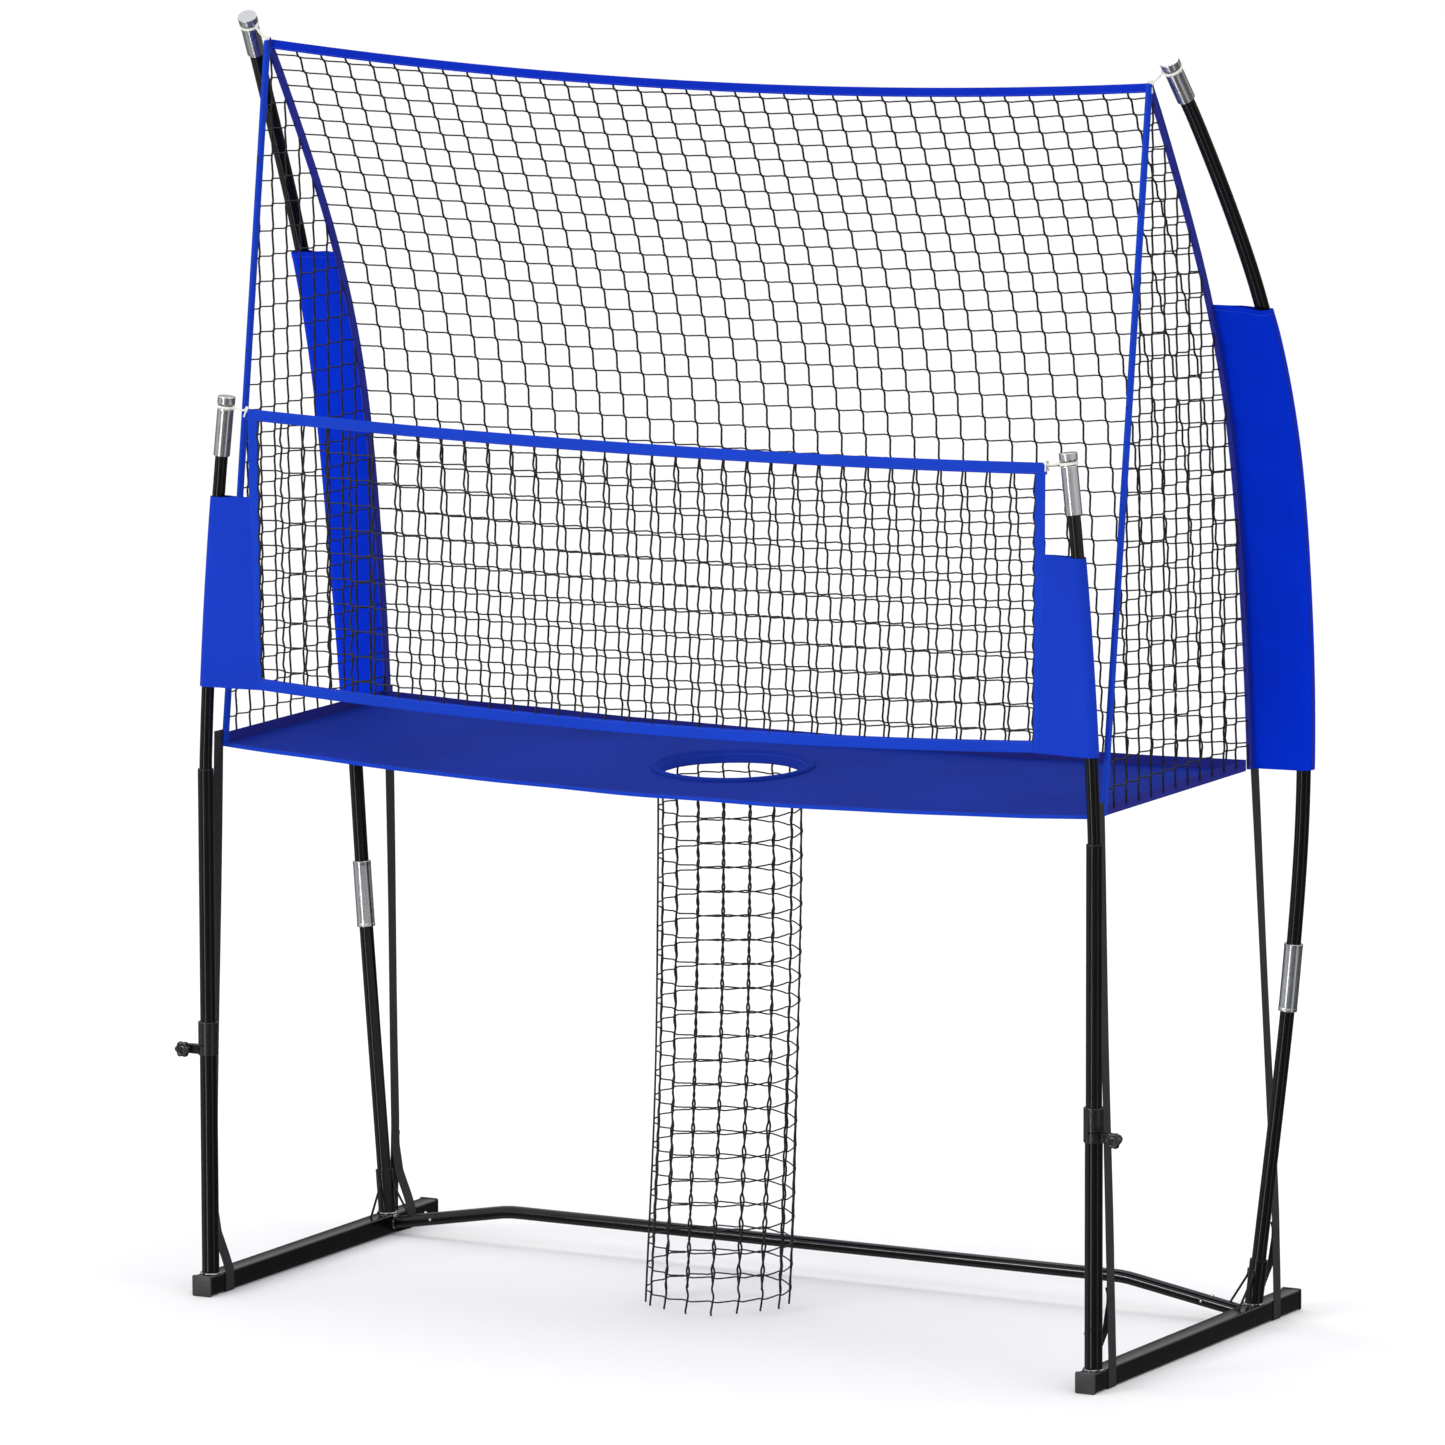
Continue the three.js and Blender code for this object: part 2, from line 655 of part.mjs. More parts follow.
// Centre line of the rear pole, found on its curve by height; it is straight inside its tip.
function rearPoleAt(z) {
  if (z > rearTipBase) {
    const base = rearPoleAt(rearTipBase);
    return base.lerp(rearCurve.getPoint(1), (z - rearTipBase) / (rearPoleTop - rearTipBase));
  }
  let [low, high] = [0, 1];
  const fine = 1e-7;
  while (high - low > fine) {
    const middle = (low + high) / 2;
    [low, high] = rearCurve.getPoint(middle).z < z ? [middle, high] : [low, middle];
  }
  const point = rearCurve.getPoint((low + high) / 2);
  const lean = rearCurve.getTangent((low + high) / 2);
  return towards(point, lean, (z - point.z) / lean.z);
}

const seamY = (z) => rearPoleAt(z).y - seamSetForward;

const stubDirection = at(-Math.cos(stubSlope), 0, Math.sin(stubSlope));
const stubRoot = at(barX - barSide / 2, rearY, stubHeight + capRim);
const alongStub = (distance) => towards(stubRoot, stubDirection, distance);
const barFace = barX - barSide / 2 - seatGap;

// Rear socket: a sleeve that leans with the pole, with a brace forward and one to the crossbar.
function rearSocket() {
  const bore = rearPoleRadius + seatGap;
  const outer = rearPoleRadius + rearSocketWall;
  const high = rearPoleAt(barTop + rearSocketHeight);
  const foot = rearPoleAt(barTop);
  const lean = at(0, 0, 0).subVectors(high, foot).normalize();
  const middle = rearPoleAt(barTop + braceRise);
  const wall = (bore + outer) / 2;
  const forward = bar(towards(middle, at(0, -1, 0), wall),
    at(barX, rearY - outer - braceReach, barTop - braceRadius), braceRadius, smallSides);
  const inward = bar(towards(middle, at(-1, 0, 0), wall), alongStub(gussetLength), braceRadius, smallSides);
  const buried = towards(foot, lean, -barSide / 2);
  const whole = fuse(bar(buried, high, outer), forward, inward);
  const below = block([barFace, rearY - barLength, 0], [barX + barSide, rearEnd, barTop + seatGap]);
  const stubRoom = bar(alongStub(-barSide), alongStub(stubLength), crossRadius + seatGap);
  return cut(whole, below, bar(buried, towards(high, lean, cutOverrun), bore), stubRoom);
}

// Places a button or its hole on the stub: on its top, or on its side towards the front.
const onStub = {
  top: (body) => body.rotateY(stubSlope).translate(...alongStub(stubLength - topButtonInset).toArray()),
  side: (body) => body.rotateX(Math.PI / 2).translate(...alongStub(stubLength - sideButtonInset).toArray()),
};

// Crossbar stub: a short tube welded to the base bar, with a gusset plate under it.
function crossStub() {
  const tipPoint = alongStub(gussetLength);
  const plate = new THREE.Shape();
  plate.moveTo(barFace, capRim + seatGap);
  plate.lineTo(barFace, stubRoot.z);
  plate.lineTo(tipPoint.x, tipPoint.z);
  const gusset = alongY(plate, gussetThickness).translate(0, rearY - gussetThickness / 2, 0);
  const body = fuse(bar(alongStub(-barSide), alongStub(stubLength), crossRadius), gusset);
  const bore = bar(alongStub(-barSide), alongStub(stubLength + cutOverrun), crossRadius - crossWall);
  const beyond = block([barFace, rearY - barSide, -barSide], [barX + barSide, rearY + barSide, 2 * barSide]);
  const holes = Object.values(onStub).map((put) => put(buttonHole(crossButtonRoot, crossRadius + cutOverrun)));
  return cut(body, bore, beyond, ...holes);
}

// Centre line of the crossbar round the bend, from the slope to the level run.
function crossBend() {
  const setback = crossBendRadius * Math.tan(stubSlope / 2);
  const bend = at(crossBendX, rearY, crossHeight);
  const arc = new THREE.QuadraticBezierCurve3(
    towards(bend, stubDirection, -setback), bend, towards(bend, at(-1, 0, 0), setback));
  return arc.getPoints(crossBendPieces);
}

// Crossbar half: a necked end in the stub, the bend, and a level run that ends in the joint.
function crossHalf(endX, hasNeck) {
  const bore = crossRadius - 2 * crossWall - seatGap;
  const neck = crossRadius - crossWall - seatGap;
  const level = (x) => at(x, rearY, crossHeight);
  const socket = endX + crossInsert + shoulderLength;
  const ending = hasNeck
    ? [[endX + shoulderLength + seatGap, crossRadius, bore], [endX, neck, bore], [endX - crossInsert, neck, bore]]
    : [[socket + shoulderLength, crossRadius, bore], [socket, crossRadius, neck + seatGap],
      [endX, crossRadius, neck + seatGap]];
  const stations = [
    { point: alongStub(stubLength - crossInsert), radius: neck, bore },
    { point: alongStub(stubLength + seatGap), radius: neck, bore },
    { point: alongStub(stubLength + seatGap + shoulderLength), radius: crossRadius, bore },
    ...crossBend().map((point) => ({ point, radius: crossRadius, bore })),
    ...ending.map(([x, radius, inner]) => ({ point: level(x), radius, bore: inner })),
  ];
  const holes = Object.values(onStub).map((put) => put(buttonHole(crossButtonRoot, crossRadius + cutOverrun)));
  return cut(sweep(stations), ...holes);
}

// The left half's neck enters the right half at the joint, which lies a little right of the middle.
place("left_crossbar", mirrored(crossHalf(-crossJoint, true), -1), blackSteel);
place("right_crossbar", crossHalf(crossJoint, false), blackSteel);

const ferruleMiddle = (ferruleLow + ferruleHigh) / 2;
const rearPoleHigh = rearTipBase + rearTipSeatShare * rearTipLength;
for (const [word, side] of sides) {
  place(`${word}_rear_socket`, mirrored(rearSocket(), side), blackSteel);
  place(`${word}_crossbar_stub`, mirrored(crossStub(), side), blackSteel);
  for (const [spot, put] of Object.entries(onStub)) {
    const button = put(springButton(crossButtonRoot, crossRadius + buttonProud));
    place(`${word}_crossbar_${spot}_button`, mirrored(button, side), chrome);
  }
  const pieceOfPole = (heights) => mirrored(pole(rearPoleAt, heights, rearPoleRadius, rearPoleWall), side);
  const lowerHeights = heightsBetween(barTop + poleFootGap, ferruleLow, lowerPolePieces);
  const upperHeights = upperPoleShares.map((share) => ferruleHigh + (rearTipBase - ferruleHigh) * share);
  place(`${word}_rear_lower_pole`, pieceOfPole([...lowerHeights, ferruleMiddle - seatGap]), blackSteel);
  place(`${word}_rear_upper_pole`,
    pieceOfPole([ferruleMiddle + seatGap, ...upperHeights, rearPoleHigh]), blackSteel);
  const ferruleBore = rearPoleRadius + tipClearance;
  const ferruleTube = tube(ferruleBore + ferruleWall, ferruleBore, 0, ferruleHigh - ferruleLow);
  const ferrule = setOnLine(ferruleTube, rearPoleAt, ferruleLow, ferruleHigh);
  place(`${word}_pole_ferrule`, mirrored(ferrule, side), chrome);
  const rearTip = setOnLine(tip(rearPoleRadius, rearTipLength), rearPoleAt, rearTipBase, rearPoleTop);
  place(`${word}_rear_tip`, mirrored(rearTip, side), chrome);
}

const trayHalf = netHalfWidth - seatGap;
const trayFront = frontEnd + trayFrontInset;
const trayRear = seamY(trayHeight) - clothThickness / 2 - seatGap;
const holeY = frontEnd + holeInset;

// Height of the tray: it sags across the width, and most at its free front edge.
function trayZ(x, y) {
  const sag = trayRearSag + (trayFrontSag - trayRearSag) * ((trayRear - y) / (trayRear - trayFront));
  return trayHeight - sag * (1 - (x / netHalfWidth) ** 2);
}

// Tray: a sagging sheet from a round hole out to a rectangle.
function traySurface(u, v) {
  const angle = Math.PI * 2 * u;
  const [cos, sin] = [Math.cos(angle), Math.sin(angle)];
  const reachY = sin > 0 ? trayRear - holeY : holeY - trayFront;
  const reach = Math.min(trayHalf / Math.abs(cos), reachY / Math.abs(sin));
  const size = holeRadius + (reach - holeRadius) * v;
  const [x, y] = [size * cos, holeY + size * sin];
  return { point: at(x, y, trayZ(x, y)), normal: at(0, 0, 1) };
}

// Angles round the hole, as shares of a turn, with one at each corner of the tray.
function trayAngles() {
  const turn = Math.PI * 2;
  const corners = [[1, trayRear], [-1, trayRear], [-1, trayFront], [1, trayFront]].map(([side, y]) => (
    (Math.atan2(y - holeY, side * trayHalf) + turn) % turn));
  const stops = [...corners, corners[0] + turn];
  const counts = [longEdgeSpokes, shortEdgeSpokes, longEdgeSpokes, shortEdgeSpokes];
  return corners.flatMap((from, k) => evenBreaks(counts[k]).slice(0, counts[k]).map((share) => (
    (from + (stops[k + 1] - from) * share) / turn)));
}

place("tray", sheet(traySurface, trayAngles(), evenBreaks(clothRings), undefined, true), blueCloth);

// Chute: a soft tube that hangs from the hole's edge to the floor and drifts a little sideways.
function chute() {
  const underTray = clothThickness / 2 + seatGap;
  const high = trayZ(0, holeY) - underTray;
  const neckLow = high - chuteNeck;
  const stops = [high, ...heightsBetween(neckLow, chuteFloorGap, clothRings)];
  const body = sweep(stops.map((z, k) => {
    const drift = chuteLean * ((high - z) / (high - chuteFloorGap)) ** 2;
    const radius = k === 0 ? chuteTopRadius : chuteRadius;
    return { point: at(drift, holeY, z), radius, bore: radius - clothThickness };
  }), chuteSides);
  const corners = body.attributes.position;
  for (let i = 0; i < corners.count; i++) {
    if (corners.getZ(i) > (high + neckLow) / 2) {
      corners.setZ(i, trayZ(corners.getX(i), corners.getY(i)) - underTray);
    }
  }
  return body;
}
place("chute", chute(), netCord);

// Back net: it follows the bow of the rear poles, in bands from the tray to the sagging top edge.
function backNetSurface(u, v) {
  const spread = 1 - (2 * u - 1) ** 2;
  const low = trayHeight - clothThickness / 2 - trayRearSag * spread;
  const z = low + (backNetTop - backNetSag * spread - low) * v;
  const step = 1;
  const lean = leanBetween(rearPoleAt, z - step, z + step);
  return { point: at((2 * u - 1) * netHalfWidth, seamY(z), z), normal: at(0, lean.z, -lean.y).normalize() };
}

function backNetBand(band) {
  const bands = bandNames.length;
  const height = backNetTop - trayHeight;
  const low = band / bands + (band > 0 ? seatGap / height : 0);
  const high = (band + 1) / bands;
  const lowBorder = band === 0 ? bindingWidth : netStrand / 2;
  const highBorder = band === bands - 1 ? bindingWidth : netStrand / 2;
  const columns = netBreaks(backNetColumns, 2 * netHalfWidth, netStrand, netStrand);
  const rows = netBreaks(backBandRows, height / bands, lowBorder, highBorder);
  return sheet(backNetSurface, columns, rows.map((row) => low + (high - low) * row), gapCell);
}

bandNames.forEach((name, band) => place(`back_net_${name}`, backNetBand(band), netCord));

// Side net: between its straight front binding and the seam on the back net.
function sideNetSurface(side) {
  const high = backNetTop - sideTopDrop;
  const low = trayHeight - clothThickness / 2;
  return (u, v) => {
    const z = low + (high - low) * v;
    const front = trayFront + (frontEnd + sideTopInset - trayFront) * v;
    return { point: at(side * sideNetX, front + (seamY(z) - front) * u, z), normal: at(side, 0, 0) };
  };
}

// Front net: a flat trapezium that narrows downwards and sags a little at its lower edge.
function frontNetSurface(u, v) {
  const half = frontNetLowHalf + (frontNetHalf - frontNetLowHalf) * v;
  const low = frontNetLow - frontNetSag * (1 - (2 * u - 1) ** 2);
  return { point: at((2 * u - 1) * half, uprightY, low + (frontNetHigh - low) * v), normal: at(0, 1, 0) };
}

place("front_net", sheet(frontNetSurface, netBreaks(frontNetColumns, 2 * frontNetLowHalf),
  netBreaks(frontNetRows, frontNetHigh - frontNetLow), gapCell), netCord);

// Seams that the sails and the front net's pockets are sewn along.
const sailSeam = (z) => at(sailSeamX, seamY(z), z);
const pocketSeam = (z) => {
  const share = (z - frontNetLow) / (frontNetHigh - frontNetLow);
  return at(frontNetLowHalf + (frontNetHalf - frontNetLowHalf) * share + seatGap, uprightY, z);
};

// Strap: down the outer face of the bar, under it, up inside and back to a sewn join.
function strap(topShift) {
  const outer = barSide / 2 + seatGap;
  const skin = outer + strapThickness;
  const low = seatGap;
  const topX = sideNetX + clothThickness / 2 + seatGap - barX;
  const topZ = trayHeight - strapTopDrop;
  const opening = barTop + strapOpening;
  const joinX = outer + (topX - outer) * ((strapJoin - opening) / (topZ - opening));
  const outline = new THREE.Shape();
  outline.moveTo(topX, topZ);
  outline.lineTo(topX + strapThickness, topZ);
  outline.lineTo(skin, opening);
  outline.lineTo(skin, low);
  outline.lineTo(-skin, low);
  outline.lineTo(-skin, barTop);
  outline.lineTo(joinX - strapThickness, strapJoin);
  outline.lineTo(joinX, strapJoin + strapOpening);
  const hole = new THREE.Path();
  hole.moveTo(outer, low + strapThickness);
  hole.lineTo(outer, opening);
  hole.lineTo(joinX - strapThickness / 2, strapJoin - strapOpening);
  hole.lineTo(-outer, barTop);
  hole.lineTo(-outer, low + strapThickness);
  outline.holes.push(hole);
  const body = alongY(outline, strapWidth).translate(0, -strapWidth / 2, 0);
  const corners = body.attributes.position;
  const shiftFrom = strapJoin + strapOpening;
  for (let i = 0; i < corners.count; i++) {
    const share = Math.max(0, (corners.getZ(i) - shiftFrom) / (topZ - shiftFrom));
    corners.setY(i, corners.getY(i) + topShift * share);
  }
  return body;
}

// Tie: a ring of cord in a tip's groove and a strand to the corner of the net.
function tie(lineAt, radius, low, high, length, cornerPoint) {
  const ringRadius = radius + tipClearance + tipWall - tipGrooveDepth + tieLooseness + tieRadius;
  const ring = new THREE.TorusGeometry(ringRadius, tieRadius, cordSides, tubeSides);
  const along = length - tipGrooveDrop;
  const placed = setOnLine(ring.translate(0, 0, along), lineAt, low, high);
  const lean = leanBetween(lineAt, low, high);
  const centre = towards(lineAt(low), lean, along);
  const direct = at(0, 0, 0).subVectors(cornerPoint, centre);
  const level = towards(direct, lean, -direct.dot(lean)).normalize();
  return fuse(placed, bar(towards(centre, level, ringRadius), cornerPoint, tieRadius, cordSides));
}

for (const [word, side] of sides) {
  const net = sheet(sideNetSurface(side), netBreaks(sideNetColumns, sideNetDepth),
    netBreaks(sideNetRows, backNetTop - trayHeight), gapCell);
  place(`${word}_side_net`, net, netCord);
  const sailHeights = heightsBetween(trayHeight + sailLift, sailTop, sailLevels);
  const sail = sleeve(sailHeights, rearPoleAt, sailSeam, rearPoleRadius + sailLooseness);
  place(`${word}_sail`, mirrored(sail, side), blueCloth);
  const pocketHeights = heightsBetween(frontNetLow, pocketHigh, pocketLevels);
  const pocket = sleeve(pocketHeights, frontPoleAt, pocketSeam, poleRadius + pocketLooseness);
  place(`${word}_pocket`, mirrored(pocket, side), blueCloth);
  const straps = { front: [uprightY + frontStrapSetback, 0], rear: [rearY + rearStrapSetback, rearStrapTopShift] };
  for (const [end, [y, topShift]] of Object.entries(straps)) {
    place(`${word}_${end}_strap`, mirrored(strap(topShift), side), blackWebbing, side * barX, y);
  }
  const frontCorner = at(frontNetHalf, uprightY, frontNetHigh + seatGap + tieRadius);
  const frontTie = tie(frontPoleAt, poleRadius, frontTipBase, frontTipTop, frontTipLength, frontCorner);
  place(`${word}_front_tie`, mirrored(frontTie, side), whiteCord);
  const rearCorner = at(sideNetX, seamY(backNetTop), backNetTop + seatGap + tieRadius);
  const rearTie = tie(rearPoleAt, rearPoleRadius, rearTipBase, rearPoleTop, rearTipLength, rearCorner);
  place(`${word}_rear_tie`, mirrored(rearTie, side), whiteCord);
}

export default practiceNet;
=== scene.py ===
"""Free-standing ball practice net: bars, telescoping masts, bowed poles, mesh catcher and fabric tray."""
from math import acos, atan2, ceil, floor, sqrt, tan, tau

import bpy
import numpy as np
from numpy import array, asarray, clip, concatenate, cos, interp, linspace, pi, radians, sin
from mathutils import Matrix, Vector


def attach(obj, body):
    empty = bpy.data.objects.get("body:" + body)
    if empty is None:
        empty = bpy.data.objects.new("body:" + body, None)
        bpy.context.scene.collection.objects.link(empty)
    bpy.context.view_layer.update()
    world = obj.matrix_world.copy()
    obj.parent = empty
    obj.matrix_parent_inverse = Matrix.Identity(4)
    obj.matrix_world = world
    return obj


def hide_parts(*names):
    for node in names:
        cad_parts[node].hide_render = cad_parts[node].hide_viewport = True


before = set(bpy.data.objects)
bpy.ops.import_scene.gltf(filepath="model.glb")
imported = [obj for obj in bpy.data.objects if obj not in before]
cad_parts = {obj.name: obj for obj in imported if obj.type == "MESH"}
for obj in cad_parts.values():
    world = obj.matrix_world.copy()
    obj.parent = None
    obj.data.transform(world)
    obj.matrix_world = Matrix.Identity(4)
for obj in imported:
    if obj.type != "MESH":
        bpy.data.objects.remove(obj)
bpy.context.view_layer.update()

# ------------------------ Camera and studio
# A long lens from the front right, a little above the tray, as the photograph was framed.
# The floor is matt white card; a wide soft box stands at the front left and a strip hangs over the tray.
photo_width, focal_pixels, sensor_width = 1445, 11489.4, 36.0
camera_place = (13.56578, -24.90612, 5.88932)
turn, tilt, roll = (radians(angle) for angle in (28.68, 8.84, -0.188))


def new_object(name, data):
    """An object in the scene."""
    made = bpy.data.objects.new(name, data)
    bpy.context.collection.objects.link(made)
    return made


def new_mesh(name, points, faces):
    """A mesh from its points and faces."""
    mesh = bpy.data.meshes.new(name)
    mesh.from_pydata(asarray(points).tolist(), [], faces)
    return mesh


camera = new_object("camera", bpy.data.cameras.new("camera"))
camera.data.sensor_width = sensor_width
camera.data.lens = focal_pixels / photo_width * sensor_width
camera.data.clip_end = 400
camera.matrix_world = (Matrix.Translation(camera_place) @ Matrix.Rotation(turn, 4, "Z")
                       @ Matrix.Rotation(pi / 2 - tilt, 4, "X") @ Matrix.Rotation(roll, 4, "Z"))
bpy.context.scene.camera = camera
bpy.context.scene.view_settings.view_transform = "Standard"


def linear(code):
    """An sRGB hex colour as linear red, green, blue and full cover."""
    shares = [int(code[i:i + 2], 16) / 255 for i in (1, 3, 5)]
    return (*[s / 12.92 if s <= 0.04045 else ((s + 0.055) / 1.055) ** 2.4 for s in shares], 1)


def add(tree, kind, inputs=None, **settings):
    """Adds a node, sets what it is told, and links or fills its inputs."""
    made = tree.nodes.new(kind)
    for name, value in settings.items():
        setattr(made, name, value)
    for name, value in (inputs or {}).items():
        if isinstance(value, bpy.types.NodeSocket):
            tree.links.new(value, made.inputs[name])
        else:
            made.inputs[name].default_value = value
    return made


def worked(tree, operation, *values):
    """The result of a sum on sockets and numbers."""
    return add(tree, "ShaderNodeMath", dict(enumerate(values)), operation=operation).outputs[0]


def ranged(tree, value, *limits):
    """A value carried from its limits to others, which are 0 and 1 unless given."""
    names = ("From Min", "From Max", "To Min", "To Max")
    return add(tree, "ShaderNodeMapRange", {"Value": value, **dict(zip(names, limits))}).outputs["Result"]


def mixed(tree, share, low, high, kind="FLOAT"):
    """What lies between two numbers or two colours."""
    inputs = {"Factor": share, "A": low, "B": high}
    return add(tree, "ShaderNodeMix", inputs, data_type=kind).outputs["Result"]


def toned(tree, value, *stops):
    """A ramp over a value; each stop is a place and a tone, a hex colour or a share of grey."""
    ramp = add(tree, "ShaderNodeValToRGB", {"Fac": value})
    for share, tone in stops[1:-1]:
        ramp.color_ramp.elements.new(share)
    for stop, (share, tone) in zip(ramp.color_ramp.elements, stops):
        stop.position = share
        stop.color = linear(tone) if isinstance(tone, str) else (tone, tone, tone, 1)
    return ramp.outputs["Color"]


def sockets_of(finish):
    """The sockets of a finish's shader."""
    return finish.node_tree.nodes["Principled BSDF"].inputs


def new_finish(name, slot, start=None, **shader_values):
    """A material, started from a hex colour or another finish, with shader sockets filled; its slot is not
    used.
    """
    finish = start.copy() if isinstance(start, bpy.types.Material) else bpy.data.materials.new(name)
    finish.name, finish.use_nodes = name, True
    if isinstance(start, str):
        shader_values["Base_Color"] = linear(start)
    for socket, value in shader_values.items():
        sockets_of(finish)[socket.replace("_", " ")].default_value = value
    return finish


def noise(finish, scale, detail, stretch=None):
    """Noise in a finish, in the object's own metres, closer along the axes that are stretched."""
    tree = finish.node_tree
    places = add(tree, "ShaderNodeTexCoord").outputs["Object"]
    if stretch:
        places = add(tree, "ShaderNodeMapping", {"Vector": places, "Scale": stretch}).outputs["Vector"]
    values = {"Vector": places, "Scale": scale, "Detail": detail}
    return add(tree, "ShaderNodeTexNoise", values).outputs["Fac"]


def vary(finish, value, rough=None, tones=None, bump=None, invert=False):
    """Lets a value change a finish's roughness (from and to), its tones and its bump (strength, metres)."""
    tree, sockets = finish.node_tree, sockets_of(finish)
    if rough:
        tree.links.new(ranged(tree, value, *rough), sockets["Roughness"])
    if tones:
        tree.links.new(toned(tree, value, *tones), sockets["Base Color"])
    if bump:
        relief = add(tree, "ShaderNodeBump", {"Height": value, "Strength": bump[0], "Distance": bump[1]},
                     invert=invert)
        tree.links.new(relief.outputs["Normal"], sockets["Normal"])


def grain(finish, scale, detail, stretch=None, **changes):
    """Lets noise change a finish."""
    vary(finish, noise(finish, scale, detail, stretch), **changes)


# The studio is white overhead, with a black flag low behind the stand. Below the floor's level, where only
# gloss looks, it is dark with upright soft panels. Each stop is a share of the way round and one of white.
panel_stops = ((0, 0.04), (0.04, 0.1), (0.1, 0.11), (0.15, 0.04), (0.21, 0.04), (0.217, 1), (0.231, 1),
               (0.239, 0.06), (0.33, 0.03), (0.43, 0.015), (0.455, 0.15), (0.475, 0.15), (0.5, 0.025),
               (0.66, 0.015), (0.82, 0.05), (1, 0.04))
flag_stops = ((0, 0.9), (0.62, 0.9), (0.72, 0.08), (0.94, 0.08), (1, 0.9))
panel_strength = 5.6
world = bpy.data.worlds.new("studio")
world.use_nodes = True
tree = world.node_tree
tree.nodes["Background"].inputs["Color"].default_value = linear("#FFFFFF")
facing = add(tree, "ShaderNodeTexCoord").outputs["Generated"]
ways = add(tree, "ShaderNodeSeparateXYZ", {"Vector": facing}).outputs
bearing = ranged(tree, worked(tree, "ARCTAN2", ways["Y"], ways["X"]), -pi, pi)
panels = worked(tree, "MULTIPLY", toned(tree, bearing, *panel_stops), panel_strength)
zenith = ranged(tree, ways["Z"], 0.0, 0.7, 0.95, 1.15)
sky = mixed(tree, ranged(tree, ways["Z"], 0.16, 0.36), toned(tree, bearing, *flag_stops), zenith)
tree.links.new(mixed(tree, ranged(tree, ways["Z"], -0.03, -0.005), panels, sky),
               tree.nodes["Background"].inputs["Strength"])
bpy.context.scene.world = world

# Soft lights: where each stands and what it points at, its width and height in metres, and its watts.
for name, spot, aim, width, height, watts in (
        ("front_left_box", (-6.5, -16, 5.2), (0, 0, 1.2), 4.6, 2.2, 950),
        ("overhead_strip", (0.4, 0.4, 5.6), (0.2, 0.1, 0.6), 7, 0.5, 40)):
    lamp = bpy.data.lights.new(name, "AREA")
    lamp.shape, lamp.size, lamp.size_y, lamp.energy = "RECTANGLE", width, height, watts
    stand = new_object(name, lamp)
    stand.location = spot
    stand.rotation_euler = (Vector(aim) - Vector(spot)).to_track_quat("-Z", "Y").to_euler()

floor_reach = 120
corners = [(x * floor_reach, y * floor_reach, 0) for x, y in ((-1, -1), (1, -1), (1, 1), (-1, 1))]
floor_mesh = new_mesh("floor", corners, [(0, 1, 2, 3)])
white_card = new_finish("white_card_floor", None, "#F7F7F7", Roughness=0.9, Specular_IOR_Level=0.1)
floor_mesh.materials.append(white_card)
card = new_object("floor", floor_mesh)
card.visible_glossy = False

# ------------------------ Base bars and end caps
# Two square steel tubes, 50 mm with 5 mm corners, powder-coated satin black.
# A plug of moulded black plastic is pressed into each end; its flange is what rests on the floor.
MM = 0.001
sides = (-1, 1)
bar_x, bar_side, bar_corner, bar_wall = 1250, 50, 5, 2
bar_middle, bar_top, bar_end = 27, 52, 569.7
cap_face, cap_side, cap_corner, cap_edge, plug_depth = 575, 54, 5, 1.1, 18
X, Y, Z = np.eye(3)


def circle(count):
    """Angles all round, one for each point."""
    return linspace(0, 2 * pi, count, endpoint=False)


def unit(ways):
    """Directions, each of length one."""
    ways = asarray(ways, float)
    return ways / np.linalg.norm(ways, axis=-1, keepdims=True)


def stacked(*parts):
    """Coordinates, each a number or an array, as one array of points."""
    return np.stack(np.broadcast_arrays(*parts), -1)


def loft(rings, loop=False):
    """A skin over rings of equal count; a loop joins the last ring to the first, else flat ends close it."""
    rings = asarray(rings, float)
    count, around = rings.shape[:2]
    index = np.arange(count * around).reshape(count, around)
    upper = np.roll(index, -1, axis=0) if loop else index[1:]
    lower = index if loop else index[:-1]
    faces = np.stack([lower, np.roll(lower, -1, axis=1), np.roll(upper, -1, axis=1), upper], -1)
    faces = faces.reshape(-1, 4).tolist()
    if not loop:
        faces += [index[0][::-1].tolist(), index[-1].tolist()]
    return rings.reshape(-1, 3), faces


def joined(*shapes):
    """Several shapes as one."""
    points, faces, start = [], [], 0
    for some_points, some_faces in shapes:
        points.append(some_points)
        faces += [[start + i for i in face] for face in some_faces]
        start += len(some_points)
    return concatenate(points), faces


def place(side, name, shape, finish, *nodes, body="stand", slot=None, crease=38, marks=None):
    """Makes one piece from a shape in millimetres, smooth but for its creases, and fixes it to its body.

    Shapes are drawn for the right. The left gets their mirror image, and {} in a name is the side's word.
    """
    points, faces = shape
    name, body, *nodes = (text.format("left" if side < 0 else "right") for text in (name, body, *nodes))
    if side < 0:
        if marks is not None:
            parts = np.split(marks, np.cumsum([len(face) for face in faces])[:-1])
            marks = concatenate([part[::-1] for part in parts])
        points, faces = points * (-1, 1, 1), [face[::-1] for face in faces]
    mesh = new_mesh(name, asarray(points) * MM, faces)
    mesh.shade_smooth()
    mesh.set_sharp_from_angle(angle=radians(crease))
    if marks is not None:
        mesh.uv_layers.new(name="cloth_mm").data.foreach_set("uv", asarray(marks, float).ravel())
    mesh.materials.append(finish)
    made = new_object(name, mesh)
    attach(made, body)
    if nodes:
        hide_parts(*nodes)
    return made


def square_ring(y, side, corner, steps=6):
    """A rounded square round the bar's middle line, in the plane at y."""
    reach = side / 2 - corner
    angles = (np.arange(4)[:, None] * pi / 2 + radians(linspace(0, 90, steps))).ravel()
    across, above = np.repeat((1, -1, -1, 1), steps), np.repeat((1, 1, -1, -1), steps)
    return stacked(bar_x + across * reach + corner * cos(angles), y,
                   bar_middle + above * reach + corner * sin(angles))[::-1]


